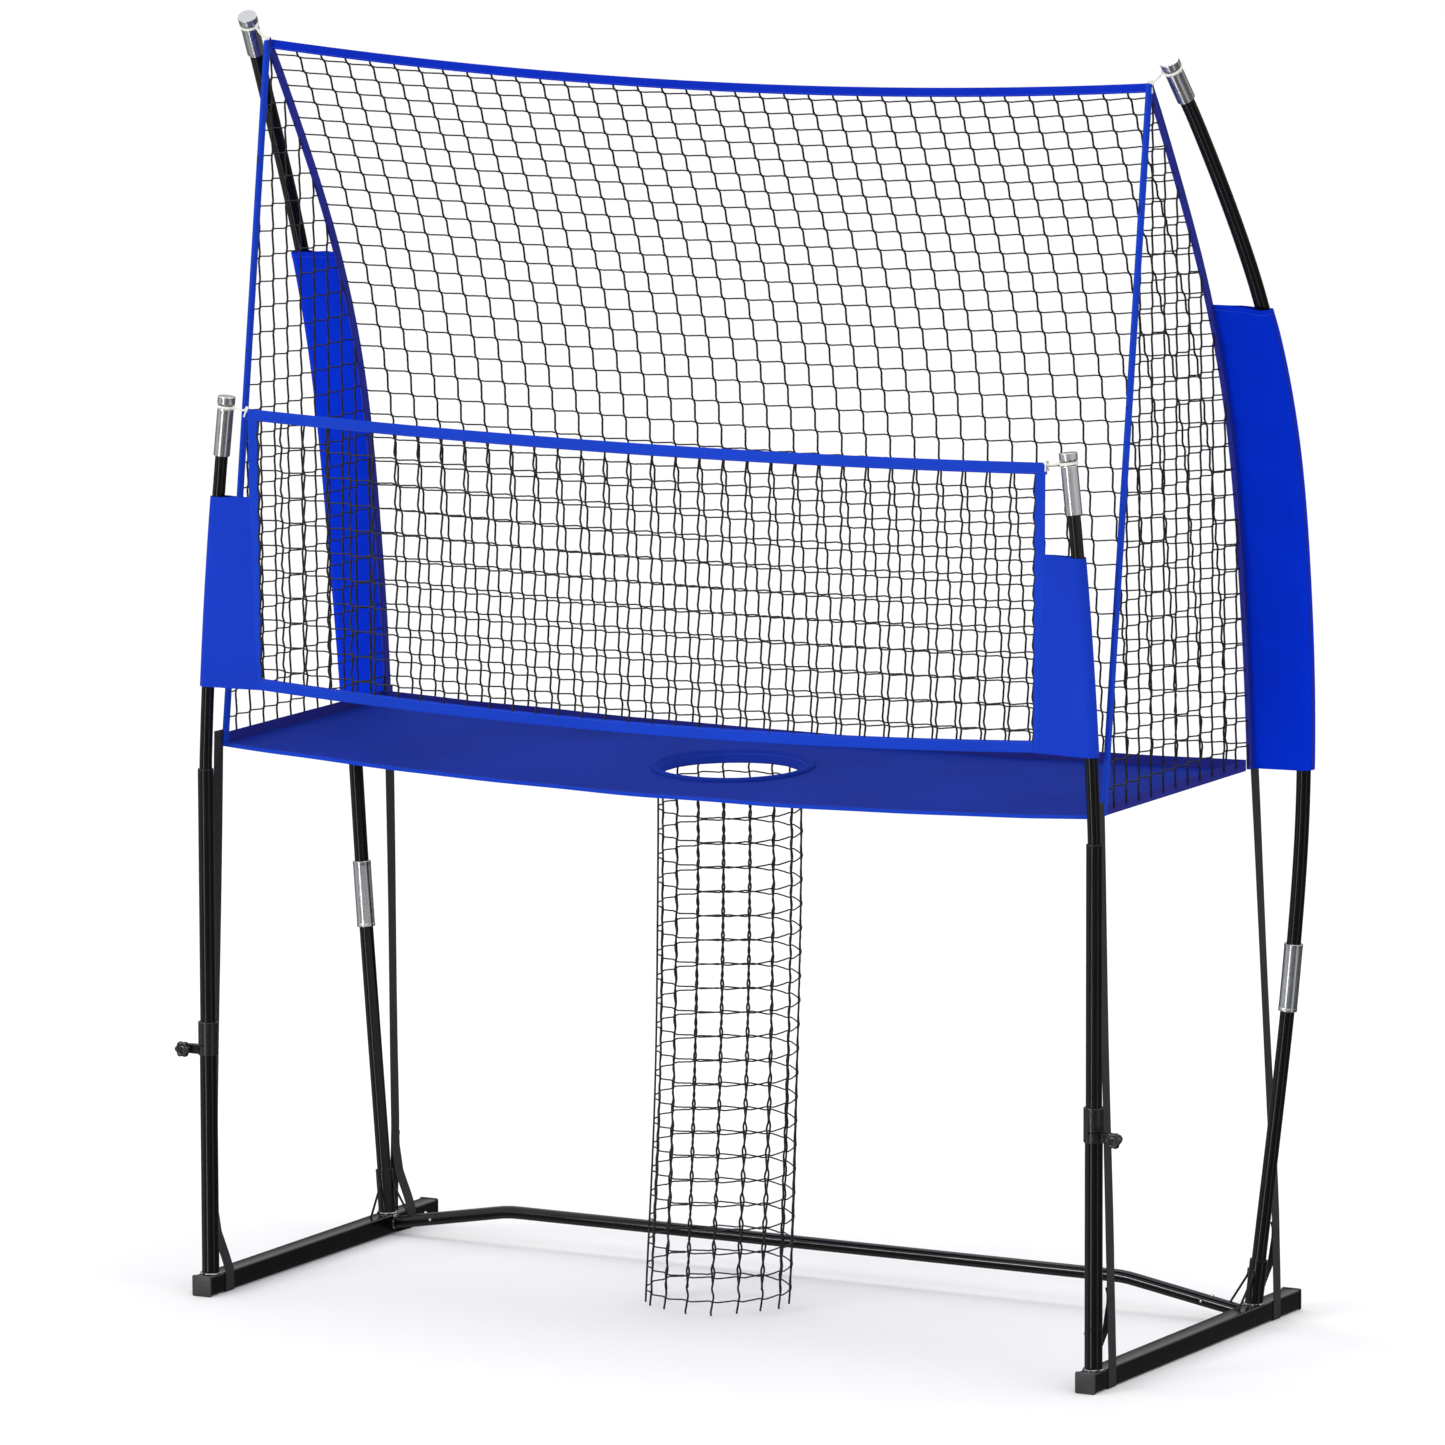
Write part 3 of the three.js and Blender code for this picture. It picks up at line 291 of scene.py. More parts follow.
# Powder-coated steel: near-black polyester powder, satin, with a fine orange peel about 1.5 mm across.
powder_coat = new_finish("satin_black_powder_coat", "black_steel", "#0B0B0C", IOR=1.5,
                         Specular_IOR_Level=0.32)
grain(powder_coat, 14, 4, rough=(0.3, 0.7, 0.11, 0.18), tones=((0, "#050506"), (1, "#0B0B0C")))
grain(powder_coat, 650, 2, bump=(0.12, 0.0004))

# Moulded polyethylene: softer and greyer than the powder coat, with a spark-eroded grain of about 0.8 mm.
moulded_plastic = new_finish("moulded_black_plastic", "black_plastic", "#2E2E2F", IOR=1.49,
                             Specular_IOR_Level=0.4)
grain(moulded_plastic, 1200, 3, bump=(0.25, 0.0003))
grain(moulded_plastic, 60, 5, rough=(0.35, 0.65, 0.4, 0.6))

bar_bore, bore_corner = bar_side - 2 * bar_wall, bar_corner - bar_wall
bar = loft([square_ring(*step) for step in (
    (-bar_end, bar_side, bar_corner), (bar_end, bar_side, bar_corner),
    (bar_end, bar_bore, bore_corner), (-bar_end, bar_bore, bore_corner))], loop=True)
cap_seat, plug_end, plug_side = bar_end + 0.3, bar_end - plug_depth, bar_bore - 1
cap_steps = ((cap_face, cap_side - 2 * cap_edge, cap_corner - cap_edge),
             (cap_face - 0.4 * cap_edge, cap_side - 0.6 * cap_edge, cap_corner - 0.3 * cap_edge),
             (cap_face - cap_edge, cap_side, cap_corner), (cap_seat, cap_side, cap_corner),
             (cap_seat, plug_side, bore_corner), (plug_end, plug_side, bore_corner),
             (plug_end - 2, bar_bore - 4, 1))
for side in sides:
    place(side, "{}_bar", bar, powder_coat, "{}_base_bar")
    for end, way in (("front", -1), ("rear", 1)):
        cap = loft([square_ring(way * y, size, corner) for y, size, corner in cap_steps[::way]])
        place(side, "{}_" + end + "_end_cap", cap, moulded_plastic, "{}_" + end + "_cap")

# ------------------------ Front sockets and outer tubes
# A round sleeve is welded on each bar, 47 mm from its end, and the mast's 44 mm tube seats its neck in it.
# A sprung steel button snaps out through both walls; the weld bead is left bright where the coat burnt off.
mast_y, mast_radius = -528, 22
socket_low, socket_high, socket_wall = 52.3, 156.3, 2.5
outer_tube_top, neck_depth, tube_wall = 692, 92, 1.5
button_radius, button_proud, button_root, button_height = 4, 5, 8, 139.3
slit_half, weld_radius = 1.5, 24


def hoop(centre, radius, u, v, angles):
    """Points round a centre in the plane of two directions."""
    return centre + radius * (cos(angles) * u + sin(angles) * v)


def spans(points, axis=0):
    """The lengths from each point to the next."""
    return np.linalg.norm(np.diff(points, axis=axis), axis=-1)


def along(start, way):
    """A straight line as a function of the distance from its start: place and direction."""
    start, way = asarray(start, float), unit(way)
    return lambda distance: (start + way * distance, way)


def spin(line, profile, around=48, reach=40.0):
    """A turned shape: (distance, radius) steps round a line, in pieces no longer than the reach."""
    bend, closed = 1.5, profile[0] == profile[-1]
    stations = [profile[0]]
    for (low, first), (high, last) in zip(profile, profile[1:]):
        span = abs(high - low)
        shares = linspace(0, 1, max(1, ceil(span / reach)) + 1)[1:]
        if span > 8:
            shares = [bend / span, *shares[:-1], 1 - bend / span, 1]
        stations += [(low + (high - low) * share, first + (last - first) * share) for share in shares]
    angles = circle(around)[:, None]
    rings = []
    for distance, radius in stations[:-1] if closed else stations:
        point, way = line(distance)
        first = Y if abs(way[1]) < 0.7 else X
        u = unit(first - way * (first @ way))
        rings.append(hoop(point, radius, u, np.cross(way, u), angles))
    return loft(rings, loop=closed)


def hollow(*steps):
    """The profile of a piece with a bore, which comes back to its first step."""
    return [*steps, steps[0]]


def pipe(low, high, radius, wall, edge=0.6):
    """The profile of an open pipe with its rims broken."""
    bore = radius - wall
    return hollow((low, bore), (low, radius - edge), (low + edge, radius), (high - edge, radius),
                  (high, radius - edge), (high, bore))


def carved(shape, *cutters):
    """What is left of a shape when the cutters are taken away."""
    made = [new_object("blank", new_mesh("blank", *part)) for part in (shape, *cutters)]
    for cutter in made[1:]:
        cut = made[0].modifiers.new("cut", "BOOLEAN")
        cut.operation, cut.solver, cut.object = "DIFFERENCE", "EXACT", cutter
    left = made[0].evaluated_get(bpy.context.evaluated_depsgraph_get()).to_mesh()
    points = array([tuple(v.co) for v in left.vertices])
    faces = [list(p.vertices) for p in left.polygons]
    for blank in made:
        bpy.data.meshes.remove(blank.data)
    return points, faces


def block(low, high):
    """A box cutter between two corners."""
    (x0, y0, z0), (x1, y1, z1) = low, high
    return loft([[(x0, y0, z), (x1, y0, z), (x1, y1, z), (x0, y1, z)] for z in (z0, z1)])


def bead(centre_at, size, axis=Z, pitch=5.0):
    """A weld bead on a closed path round an axis; its ripples are the puddle's stops, a pitch apart."""
    turns, ripple = circle(96), 0.22
    path = array([centre_at(t) for t in turns])
    stops = round(spans(concatenate([path, path[:1]])).sum() / pitch)
    ways = unit(np.roll(path, -1, axis=0) - np.roll(path, 1, axis=0))
    across = unit(np.cross(ways, axis))
    swell = size * (1 + ripple * np.abs(sin(turns * stops / 2)))
    angles = circle(10)[:, None]
    return loft([hoop(*step, angles) for step in zip(path, swell, across, np.cross(across, ways))], loop=True)


# Zinc-bright weld metal: bare steel, polished by the arc, with a slight grey bloom.
bright_weld = new_finish("bright_weld_metal", "black_steel", "#B9BBBD", Metallic=1.0, Roughness=0.3)
grain(bright_weld, 160, 4, tones=((0.42, "#1A1A1B"), (0.6, "#C6C8CA")))

# Nickel-plated spring steel: bright, slightly brushed by snapping in and out.
plated_steel = new_finish("nickel_plated_button", "button_steel", "#CDCBC6", Metallic=1.0)
grain(plated_steel, 900, 3, rough=(0, 1, 0.12, 0.34))


def button(line, skin):
    """A spring button: a pin that ends in a dome."""
    dome = [(skin + button_proud - button_radius * (1 - sin(a)), button_radius * cos(a))
            for a in radians((0, 25, 50, 70, 84))]
    return spin(line, [(button_root, button_radius), *dome], around=24)


def button_hole(line, reach, play=0.4):
    """The cutter for a button's hole."""
    return spin(line, [(button_root, button_radius + play), (reach, button_radius + play)], around=24)


mast_foot = array((bar_x, mast_y, 0.0))
mast = along(mast_foot, Z)
foot_bead = bead(lambda t: mast_foot + (weld_radius * cos(t), weld_radius * sin(t), bar_top + 1.6), 2.6)
neck, neck_low, seat = mast_radius - socket_wall - 0.3, socket_high - neck_depth, socket_high + 0.3
tube_bore = mast_radius - tube_wall
tube_steps = hollow((neck_low, neck - tube_wall), (neck_low, neck), (seat, neck), (seat, mast_radius - 0.8),
                    (seat + 0.8, mast_radius), (outer_tube_top, mast_radius), (outer_tube_top, tube_bore),
                    (seat + tube_wall, tube_bore), (seat + tube_wall, neck - tube_wall))
slit = block((bar_x, mast_y - slit_half, outer_tube_top - 92),
             (bar_x + 30, mast_y + slit_half, outer_tube_top + 5))
for side in sides:
    pin = along(mast_foot + button_height * Z, -X if side > 0 else Y)
    hole = button_hole(pin, mast_radius + 6)
    socket = carved(spin(mast, pipe(socket_low, socket_high, mast_radius, socket_wall)), hole)
    place(side, "{}_socket", socket, powder_coat, "{}_front_socket")
    place(side, "{}_socket_weld", foot_bead, bright_weld)
    place(side, "{}_lower_mast_tube", carved(spin(mast, tube_steps), hole, slit), powder_coat,
          "{}_outer_tube")
    place(side, "{}_mast_button", button(pin, mast_radius), plated_steel, "{}_socket_button",
          body="{}_socket_button_body")

# ------------------------ Clamp collars and star knobs
# A moulded collar sits over each outer tube; its lower ring is split, and two ears carry the clamp screw.
# The six-lobed knob turns the screw to pinch the ring on the sliding tube.
collar_low, collar_top, collar_radius, collar_bore, lip_bore, lip_low = 614, 700, 25.6, 22.3, 20.5, 692.5
ring_top, relief = 642.4, 4
ear_root, ear_reach, ear_radius, ear_half, ear_edge = 22.6, 63, 11, 9.5, 0.9
knob_height, knob_radius, knob_lobes, lobe_depth = 626.38, 21, 6, 3.4
knob_thickness, knob_neck, stud_radius = 15, 4, 3.9

# Polished nylon: jet black with the mould's gloss, dulled in patches by handling.
glossy_nylon = new_finish("glossy_black_nylon", "black_plastic", "#101011", IOR=1.53)
grain(glossy_nylon, 90, 4, rough=(0.35, 0.65, 0.2, 0.34))

collar_tube = spin(mast, hollow(
    (collar_low, collar_bore), (collar_low, collar_radius - 1.2), (collar_low + 1.2, collar_radius),
    (collar_top - 1.5, collar_radius), (collar_top - 0.4, collar_radius - 0.6),
    (collar_top, collar_radius - 1.6), (collar_top, lip_bore), (lip_low, lip_bore), (lip_low, collar_bore)),
    around=72)
gap = block((bar_x + 10, mast_y - slit_half, collar_low - 5), (bar_x + 90, mast_y + slit_half, ring_top))
notch = block((bar_x - 4, mast_y - 40, ring_top - relief), (bar_x + 40, mast_y + 40, ring_top))
outline = array([(ear_root, collar_low + 0.5),
                 *[(ear_reach + ear_radius * cos(a), knob_height + ear_radius * sin(a))
                   for a in radians(linspace(-90, 90, 13))], (ear_root, ring_top - relief)])
inward = np.where(outline - outline.mean(axis=0) < 0, 1, -1)
ears = [loft([np.insert(outline + inset * inward, 1, y, axis=1) + (bar_x, mast_y, 0) for y, inset in (
    (near, ear_edge), (near + ear_edge, 0), (far - ear_edge, 0), (far, ear_edge))])
        for near, far in ((-ear_half, -slit_half), (slit_half, ear_half))]
collar = joined(carved(collar_tube, gap, notch), *ears)
ear_middle = array((bar_x + ear_reach, mast_y, knob_height))
nut = spin(along(ear_middle + ear_half * Y, Y), [(-0.5, 6.2), (4.2, 6.2), (4.8, 5.5)], around=6)
knob_seat = ear_middle - (ear_half + 0.3) * Y
turns = circle(144)
lobes = knob_radius - lobe_depth * (1 - (0.5 + 0.5 * cos(knob_lobes * turns)) ** 0.8)
face = knob_neck + knob_thickness
knob = loft([knob_seat + stacked(radii * cos(turns), -depth, radii * sin(turns)) for depth, radii in (
    (0, 8.6), (0.4, 9), (knob_neck, 9), (knob_neck + 0.2, lobes - 3), (knob_neck + 1.2, lobes - 0.9),
    (knob_neck + 3, lobes), (face - 3.4, lobes), (face - 1.2, lobes - 1), (face - 0.2, lobes - 2.8),
    (face, lobes - 4.5), (face, 12.4), (face - 0.3, 11.9), (face - 1.5, 11.4), (face - 1.5, 10.2),
    (face - 1.1, 9.7), (face - 0.9, 6), (face - 0.8, 1))])
stud = spin(along(knob_seat, Y), [(0, stud_radius), (18.6, stud_radius), (19.4, 3.2)], around=24)
for side in sides:
    place(side, "{}_collar", collar, glossy_nylon, "{}_clamp_collar")
    place(side, "{}_clamp_nut", nut, plated_steel)
    place(side, "{}_star_knob", joined(knob, stud), glossy_nylon, "{}_clamp_knob", body="{}_knob")

# ------------------------ Sliding tubes, front poles and tips
# The 40 mm tube slides in the clamp and carries the 32 mm top pole, which is bent a little to the middle.
# A chromed sleeve with a turned groove caps each pole and holds the tie of the net's corner.
slide_radius, slide_low, slide_top, slide_wall = 20, 475, 1345, 1.6
pole_radius, pole_seat, pole_wall = 16, 55, 1.5
front_tip_low, front_tip_length, tip_pull, kink_share = 2141, 151, 73, 0.48
tip_wall, tip_room, tip_overhang, groove_drop, groove_width, groove_depth = 4, 0.8, 1.6, 26, 10, 3
front_tip_top = front_tip_low + front_tip_length

# Rubbed coat: the sliding tube's powder coat is polished in fine lengthwise streaks by the clamp.
rubbed_coat = new_finish("rubbed_black_powder_coat", "black_steel", powder_coat)
grain(rubbed_coat, 1, 3, (900.0, 900.0, 6.0), rough=(0.35, 0.65, 0.12, 0.26))

# Chromed steel: bright plate with faint rings left by the polishing wheel, about 0.6 mm apart, and smears.
chrome = new_finish("chromed_steel", "bright_steel", "#C6C8CB", Metallic=1.0)
grain(chrome, 1, 2, (6.0, 6.0, 1600.0), bump=(0.08, 0.0002))
grain(chrome, 35, 4, rough=(0.3, 0.7, 0.2, 0.29))


def front_line(z):
    """Centre line of the right front pole: place and direction at a height."""
    length = front_tip_top - slide_top
    share = max(0.0, (z - slide_top) / length)
    slope = -tip_pull * (kink_share + 2 * (1 - kink_share) * share) / length if share else 0.0
    x = bar_x - tip_pull * (kink_share * share + (1 - kink_share) * share * share)
    return array((x, mast_y, z)), unit((slope, 0, 1.0))


def tip_shape(line, low, high, length, radius):
    """A capped sleeve on a pole's end, with a groove near its top; it lies along the chord of the pole."""
    bore, skin = radius + tip_room, radius + tip_room + tip_wall
    rim, bottom = skin + tip_overhang, skin - groove_depth
    groove_high = length - groove_drop + groove_width / 2
    groove_low = groove_high - groove_width
    dome = [(length - 1.6 * (1 - sin(a)), rim - 1.6 * (1 - cos(a))) for a in radians((0, 30, 60, 90))]
    profile = [(length - 12, bore), (0, bore), (0, skin - 0.7), (0.7, skin), (groove_low - 2.4, skin),
               (groove_low - 1.2, skin - 0.3), (groove_low, bottom + 0.8), (groove_low + 1.2, bottom),
               (groove_high - 1.2, bottom), (groove_high, bottom + 0.8), (groove_high + 1.4, rim - 0.8),
               (groove_high + 2.6, rim), *dome, (length, rim * 0.6), (length, 1)]
    return spin(along(line(low)[0], line(high)[0] - line(low)[0]), profile, around=64)


slide_bore, seat_bore, seat_low = slide_radius - slide_wall, pole_radius + 0.3, slide_top - pole_seat
slide_tube = spin(mast, hollow(
    (slide_low, slide_bore), (slide_low, slide_radius), (slide_top - 2, slide_radius),
    (slide_top - 0.6, slide_radius - 0.6), (slide_top, slide_radius - 1.6), (slide_top, seat_bore),
    (seat_low, seat_bore), (seat_low, slide_bore)))
top_pole = spin(front_line, pipe(seat_low + 0.3, front_tip_top - 15, pole_radius, pole_wall))
front_end = (front_line, front_tip_low, front_tip_top, front_tip_length, pole_radius)
front_tip = tip_shape(*front_end)
for side in sides:
    place(side, "{}_sliding_tube", slide_tube, rubbed_coat, "{}_slide_tube", body="{}_mast")
    place(side, "{}_top_pole", top_pole, powder_coat, "{}_front_pole", body="{}_mast")
    place(side, "{}_front_pole_tip", front_tip, chrome, "{}_front_tip", body="{}_mast")

# ------------------------ Rear sockets, bowed poles, ferrules and tips
# Each rear pole is two 36 mm tubes joined by a chromed ferrule, drawn into a bow that leans out and back.
# Its socket is welded on the bar and stayed by two thin round rods, one forward and one inward to the stub.
rear_y, rear_radius, rear_wall, rear_pole_top = 357, 18, 1.5, 3198
rear_bow = ((0, 0, 0), (0.27, 0.67, -0.058), (0.41, 0.9, -0.06), (0.55, 1, 0.007), (0.7, 0.99, 0.151),
            (0.81, 0.865, 0.375), (0.95, 0.51, 0.813), (1, 0.32, 1))  # rise, outward and forward shares
bow_out, bow_forward, bow_low, bow_rise, bow_straight = 126, 582, 52, 3161, 3115
ferrule_low, ferrule_high, pole_joint, ferrule_radius, ferrule_bore = 796, 966, 881, 23.8, 18.8
rear_tip_length = 118
rear_socket_top, rear_socket_radius, rear_socket_bore = 166, 22.6, 18.3
rod_radius, rod_reach, rod_foot, rod_head, rod_seat = 3, 62, 49, 134, 24.4


def bow_table():
    """The bow as points every few millimetres of height: a centripetal curve through its shares."""
    p = array([(bar_x + bow_out * out, rear_y - bow_forward * forward, bow_low + bow_rise * rise)
               for rise, out, forward in rear_bow])
    p = np.vstack([2 * p[0] - p[1], p, 2 * p[-1] - p[-2]])
    made, w = [], linspace(0, 1, 60, endpoint=False)[:, None]
    for a, b, c, d in zip(p, p[1:], p[2:], p[3:]):
        ab, bc, cd = (sqrt(np.linalg.norm(end - start)) for start, end in ((a, b), (b, c), (c, d)))
        leave = ((b - a) / ab - (c - a) / (ab + bc) + (c - b) / bc) * bc
        arrive = ((c - b) / bc - (d - b) / (bc + cd) + (d - c) / cd) * bc
        made.append(b + leave * w + (-3 * b + 3 * c - 2 * leave - arrive) * w * w
                    + (2 * b - 2 * c + leave + arrive) * w ** 3)
    return np.vstack([*made, p[-2]])


bow = bow_table()


def bow_at(z):
    """Where the bow's points are at a height, across and along the stand."""
    return np.stack([interp(z, bow[:, 2], bow[:, axis]) for axis in (0, 1)], -1)


def rear_at(z):
    """Centre of the right rear pole at a height; it is straight near its ends."""
    z = asarray(z, float)
    place_at = bow_at(clip(z, bow[0, 2], bow_straight))
    for edge, step in ((bow[0, 2], 40), (bow_straight, -40)):
        past, slope = (z - edge)[..., None], (bow_at(edge + step) - bow_at(edge)) / step
        place_at = np.where(past * step < 0, bow_at(edge) + past * slope, place_at)
    return concatenate([place_at, z[..., None]], -1)


def rear_line(z):
    """Centre line of the right rear pole: place and direction at a height."""
    return rear_at(z), unit(rear_at(z + 20.0) - rear_at(z - 20.0))


def tube_on(path, radius, around=8, loop=False):
    """A round tube on a path of points, with flat ends; its cross-section is carried along without twist."""
    path = asarray(path, float)
    ways = unit(np.roll(path, -1, axis=0) - np.roll(path, 1, axis=0) if loop else np.gradient(path, axis=0))
    u = np.cross(ways[0], (0.31, 0.2, 0.93) if abs(ways[0][2]) < 0.9 else (1, 0, 0.1))
    angles = circle(around)[:, None]
    rings = []
    for point, way, r in zip(path, ways, np.broadcast_to(radius, len(path))):
        u = unit(u - way * (way @ u))
        rings.append(hoop(point, r, u, np.cross(way, u), angles))
    return loft(rings, loop=loop)


def rounded(points, radius, count):
    """A broken line whose corners are bent."""
    points = [asarray(p, float) for p in points]
    path = [points[0]]
    for a, b, c in zip(points, points[1:], points[2:]):
        start, end = (b + (p - b) * min(0.45, radius / np.linalg.norm(p - b)) for p in (a, c))
        path += [(1 - t) ** 2 * start + 2 * t * (1 - t) * b + t * t * end for t in linspace(0, 1, count)]
    return path + [points[-1]]


def stay(foot, lean):
    """A round rod from its foot to the pole, which it meets 134 mm up and runs along."""
    head = rear_at(rod_head)
    path = [foot, head - (rod_seat + 1.2) * lean - 8 * Z, head - rod_seat * lean + 8 * Z]
    return tube_on(rounded(path, 9, 7), rod_radius, 20)


foot_cut = block((bar_x - 80, rear_y - 80, socket_low - 40), (bar_x + 80, rear_y + 80, socket_low))
socket = carved(spin(rear_line, hollow(
    (socket_low - 8, rear_socket_bore), (socket_low - 8, rear_socket_radius),
    (rear_socket_top - 0.6, rear_socket_radius), (rear_socket_top, rear_socket_radius - 0.6),
    (rear_socket_top, rear_socket_bore))), foot_cut)
forward_rod = stay((bar_x, rear_y - rear_socket_radius - rod_reach, rod_foot + 4), Y)
inward_rod = stay((bar_x - bar_side / 2 - 44, rear_y, rod_foot - 4), X)
foot_bead = bead(lambda t: rear_at(socket_low) + (rod_seat * cos(t), rod_seat * sin(t), 1.5), 2.6)
lower_pole = spin(rear_line, pipe(socket_low + 0.6, pole_joint - 0.2, rear_radius, rear_wall))
upper_pole = spin(rear_line, pipe(pole_joint + 0.2, rear_pole_top, rear_radius, rear_wall))
rim = [(0, 0.9), (0.9, 0), (7, 0), (9, 0.5)]  # from the ferrule's end, and under its skin
ferrule = spin(rear_line, hollow(
    (ferrule_low, ferrule_bore), *[(ferrule_low + inset, ferrule_radius - cut) for inset, cut in rim],
    *[(ferrule_high - inset, ferrule_radius - cut) for inset, cut in rim[::-1]],
    (ferrule_high, ferrule_bore)), around=64)
rear_end = (rear_line, bow_straight, bow_straight + 60, rear_tip_length, rear_radius)
rear_tip = tip_shape(*rear_end)
for side in sides:
    place(side, "{}_rear_sleeve", joined(socket, forward_rod, inward_rod), powder_coat, "{}_rear_socket")
    place(side, "{}_rear_sleeve_weld", foot_bead, bright_weld)
    place(side, "{}_lower_bow_pole", lower_pole, powder_coat, "{}_rear_lower_pole")
    place(side, "{}_upper_bow_pole", upper_pole, powder_coat, "{}_rear_upper_pole")
    place(side, "{}_chromed_ferrule", ferrule, chrome, "{}_pole_ferrule")
    place(side, "{}_rear_pole_tip", rear_tip, chrome, "{}_rear_tip")

# ------------------------ Crossbar
# A 33 mm tube in two halves joined a little right of the middle; each is bent to meet a sloping welded stub.
# Each half plugs in its stub with two spring buttons; a gusset plate and a bolt hold the stub to the bar.
bar_tube, stub_root_z, stub_slope, stub_length, stub_wall = 16.5, 29, radians(9.93), 129, 2.0
bend_x, bend_radius, joint_x = 888, 300, 60
top_button_back, front_button_back = 35, 14
neck_length, neck_radius, neck_low = 50, 14.4, stub_length - 60
gusset_length, gusset_half, gusset_root = 52, 2.5, bar_x - 25.3
stub_root = array((bar_x - bar_side / 2, rear_y, stub_root_z))
stub_way = array((-cos(stub_slope), 0, sin(stub_slope)))


def crossbar_line(distance):
    """Centre line from the bar's inner face up the slope, round the bend and along the level."""
    slope_length = (stub_root[0] - bend_x) / cos(stub_slope) - bend_radius * tan(stub_slope / 2)
    if distance <= slope_length:
        return stub_root + stub_way * distance, stub_way
    angle = stub_slope - min((distance - slope_length) / bend_radius, stub_slope)
    way = array((-cos(angle), 0, sin(angle)))
    point = stub_root + stub_way * slope_length + bend_radius * array(
        (sin(angle) - sin(stub_slope), 0, cos(angle) - cos(stub_slope)))
    return point + way * max(0.0, distance - slope_length - bend_radius * stub_slope), way


def distance_to(x):
    """Distance along the crossbar at which its level part reaches a place across the stand."""
    level_part = 2000
    return level_part + crossbar_line(level_part)[0][0] - x


gusset_top = stub_root + stub_way * gusset_length - (0, 0, bar_tube / cos(stub_slope) - 0.5)
gusset = loft([[(gusset_root, y, 3), (gusset_root, y, 14), (gusset_top[0], y, gusset_top[2]),
                (gusset_top[0] + 6, y, gusset_top[2] - 4)]
               for y in (rear_y + gusset_half, rear_y - gusset_half)])
stub_bead = bead(lambda t: stub_root + stub_way * 1.5 + (0, 17.6 * cos(t), 17.6 * sin(t)), 2.2,
                 axis=-X, pitch=4.6)
pins = {"top": along(crossbar_line(stub_length - top_button_back)[0], (sin(stub_slope), 0, cos(stub_slope))),
        "side": along(crossbar_line(stub_length - front_button_back)[0], -Y)}
stub = carved(spin(crossbar_line, pipe(0.3, stub_length, bar_tube, stub_wall)),
              *[button_hole(pin, bar_tube + 4) for pin in pins.values()])
inner_neck, neck_bore = bar_tube - 2.3, bar_tube - 3.9
bolt = spin(along((bar_x - 25.1, rear_y - 6, 46), -X), [(0, 6.4), (3.6, 6.4), (4.4, 5.6), (4.4, 1)], around=6)
for side in sides:
    place(side, "{}_stub", joined(stub, gusset), powder_coat, "{}_crossbar_stub")
    place(side, "{}_stub_weld", stub_bead, bright_weld)
    for at, pin in pins.items():
        place(side, "{}_stub_" + at + "_button", button(pin, bar_tube), plated_steel,
              "{}_crossbar_" + at + "_button", body="{}_crossbar_" + at + "_button_body")
    # The left half's neck runs on into the right half.
    end = distance_to(side * joint_x) - 0.1
    neck_end = end + 0.1 + neck_length
    mouth = ([(end, neck_radius + 0.3), (stub_length + 3, neck_bore)] if side > 0 else
             [(end, neck_radius), (neck_end, neck_radius), (neck_end, neck_bore)])
    half = spin(crossbar_line, hollow(
        (neck_low, neck_bore), (neck_low, inner_neck), (stub_length + 0.3, inner_neck),
        (stub_length + 0.3, bar_tube - 0.6), (stub_length + 0.9, bar_tube), (end - 0.6, bar_tube),
        (end, bar_tube - 0.6), *mouth), reach=25)
    half = carved(half, *[button_hole(pin, bar_tube + 4, 0.3) for pin in pins.values()])
    place(side, "{}_crossbar_half", half, powder_coat, "{}_crossbar")
    place(side, "{}_stub_bolt", bolt, plated_steel, slot="black_steel")

# ------------------------ Tray
# Plain-woven royal-blue polyester cloth, 2.47 m wide, with a round hole 522 mm behind the bars' fronts.
# It sags 39 mm at the front edge and 19 mm at the back, and a bound band stands up along its other edges.
cloth_half, cloth_rear, cloth_front, cloth_thickness = 1235, 331, -465, 1.2
corner_height, front_dip, rear_dip = 1401, 39, 19
hole_y, ring_radius, ring_drop, rim_radius, rim_pull = -53, 203, 18, 174, 8
flange_height, seam_forward = 27, 26


def seam_y(z):
    """The seam that joins the back, the sides and the sails runs 26 mm in front of the rear pole's middle."""
    return rear_at(z)[..., 1] - seam_forward


def tray_z(x, y):
    """Height of the cloth, which sags between its corners, more in front, and is a little uneven."""
    share = clip((cloth_rear - y) / (cloth_rear - cloth_front), 0, 1)
    spread = 1 - (x / cloth_half) ** 2
    ripple = (1.1 * sin(x / 71 + 0.6 * sin(y / 60)) * sin(y / 95 + x / 410)
              * clip(spread * 3, 0, 1))
    return corner_height - (rear_dip + (front_dip - rear_dip) * share) * spread + ripple


def run_of(path):
    """How far each point of a path is from its start, along it."""
    return concatenate([[0], np.cumsum(spans(path))])


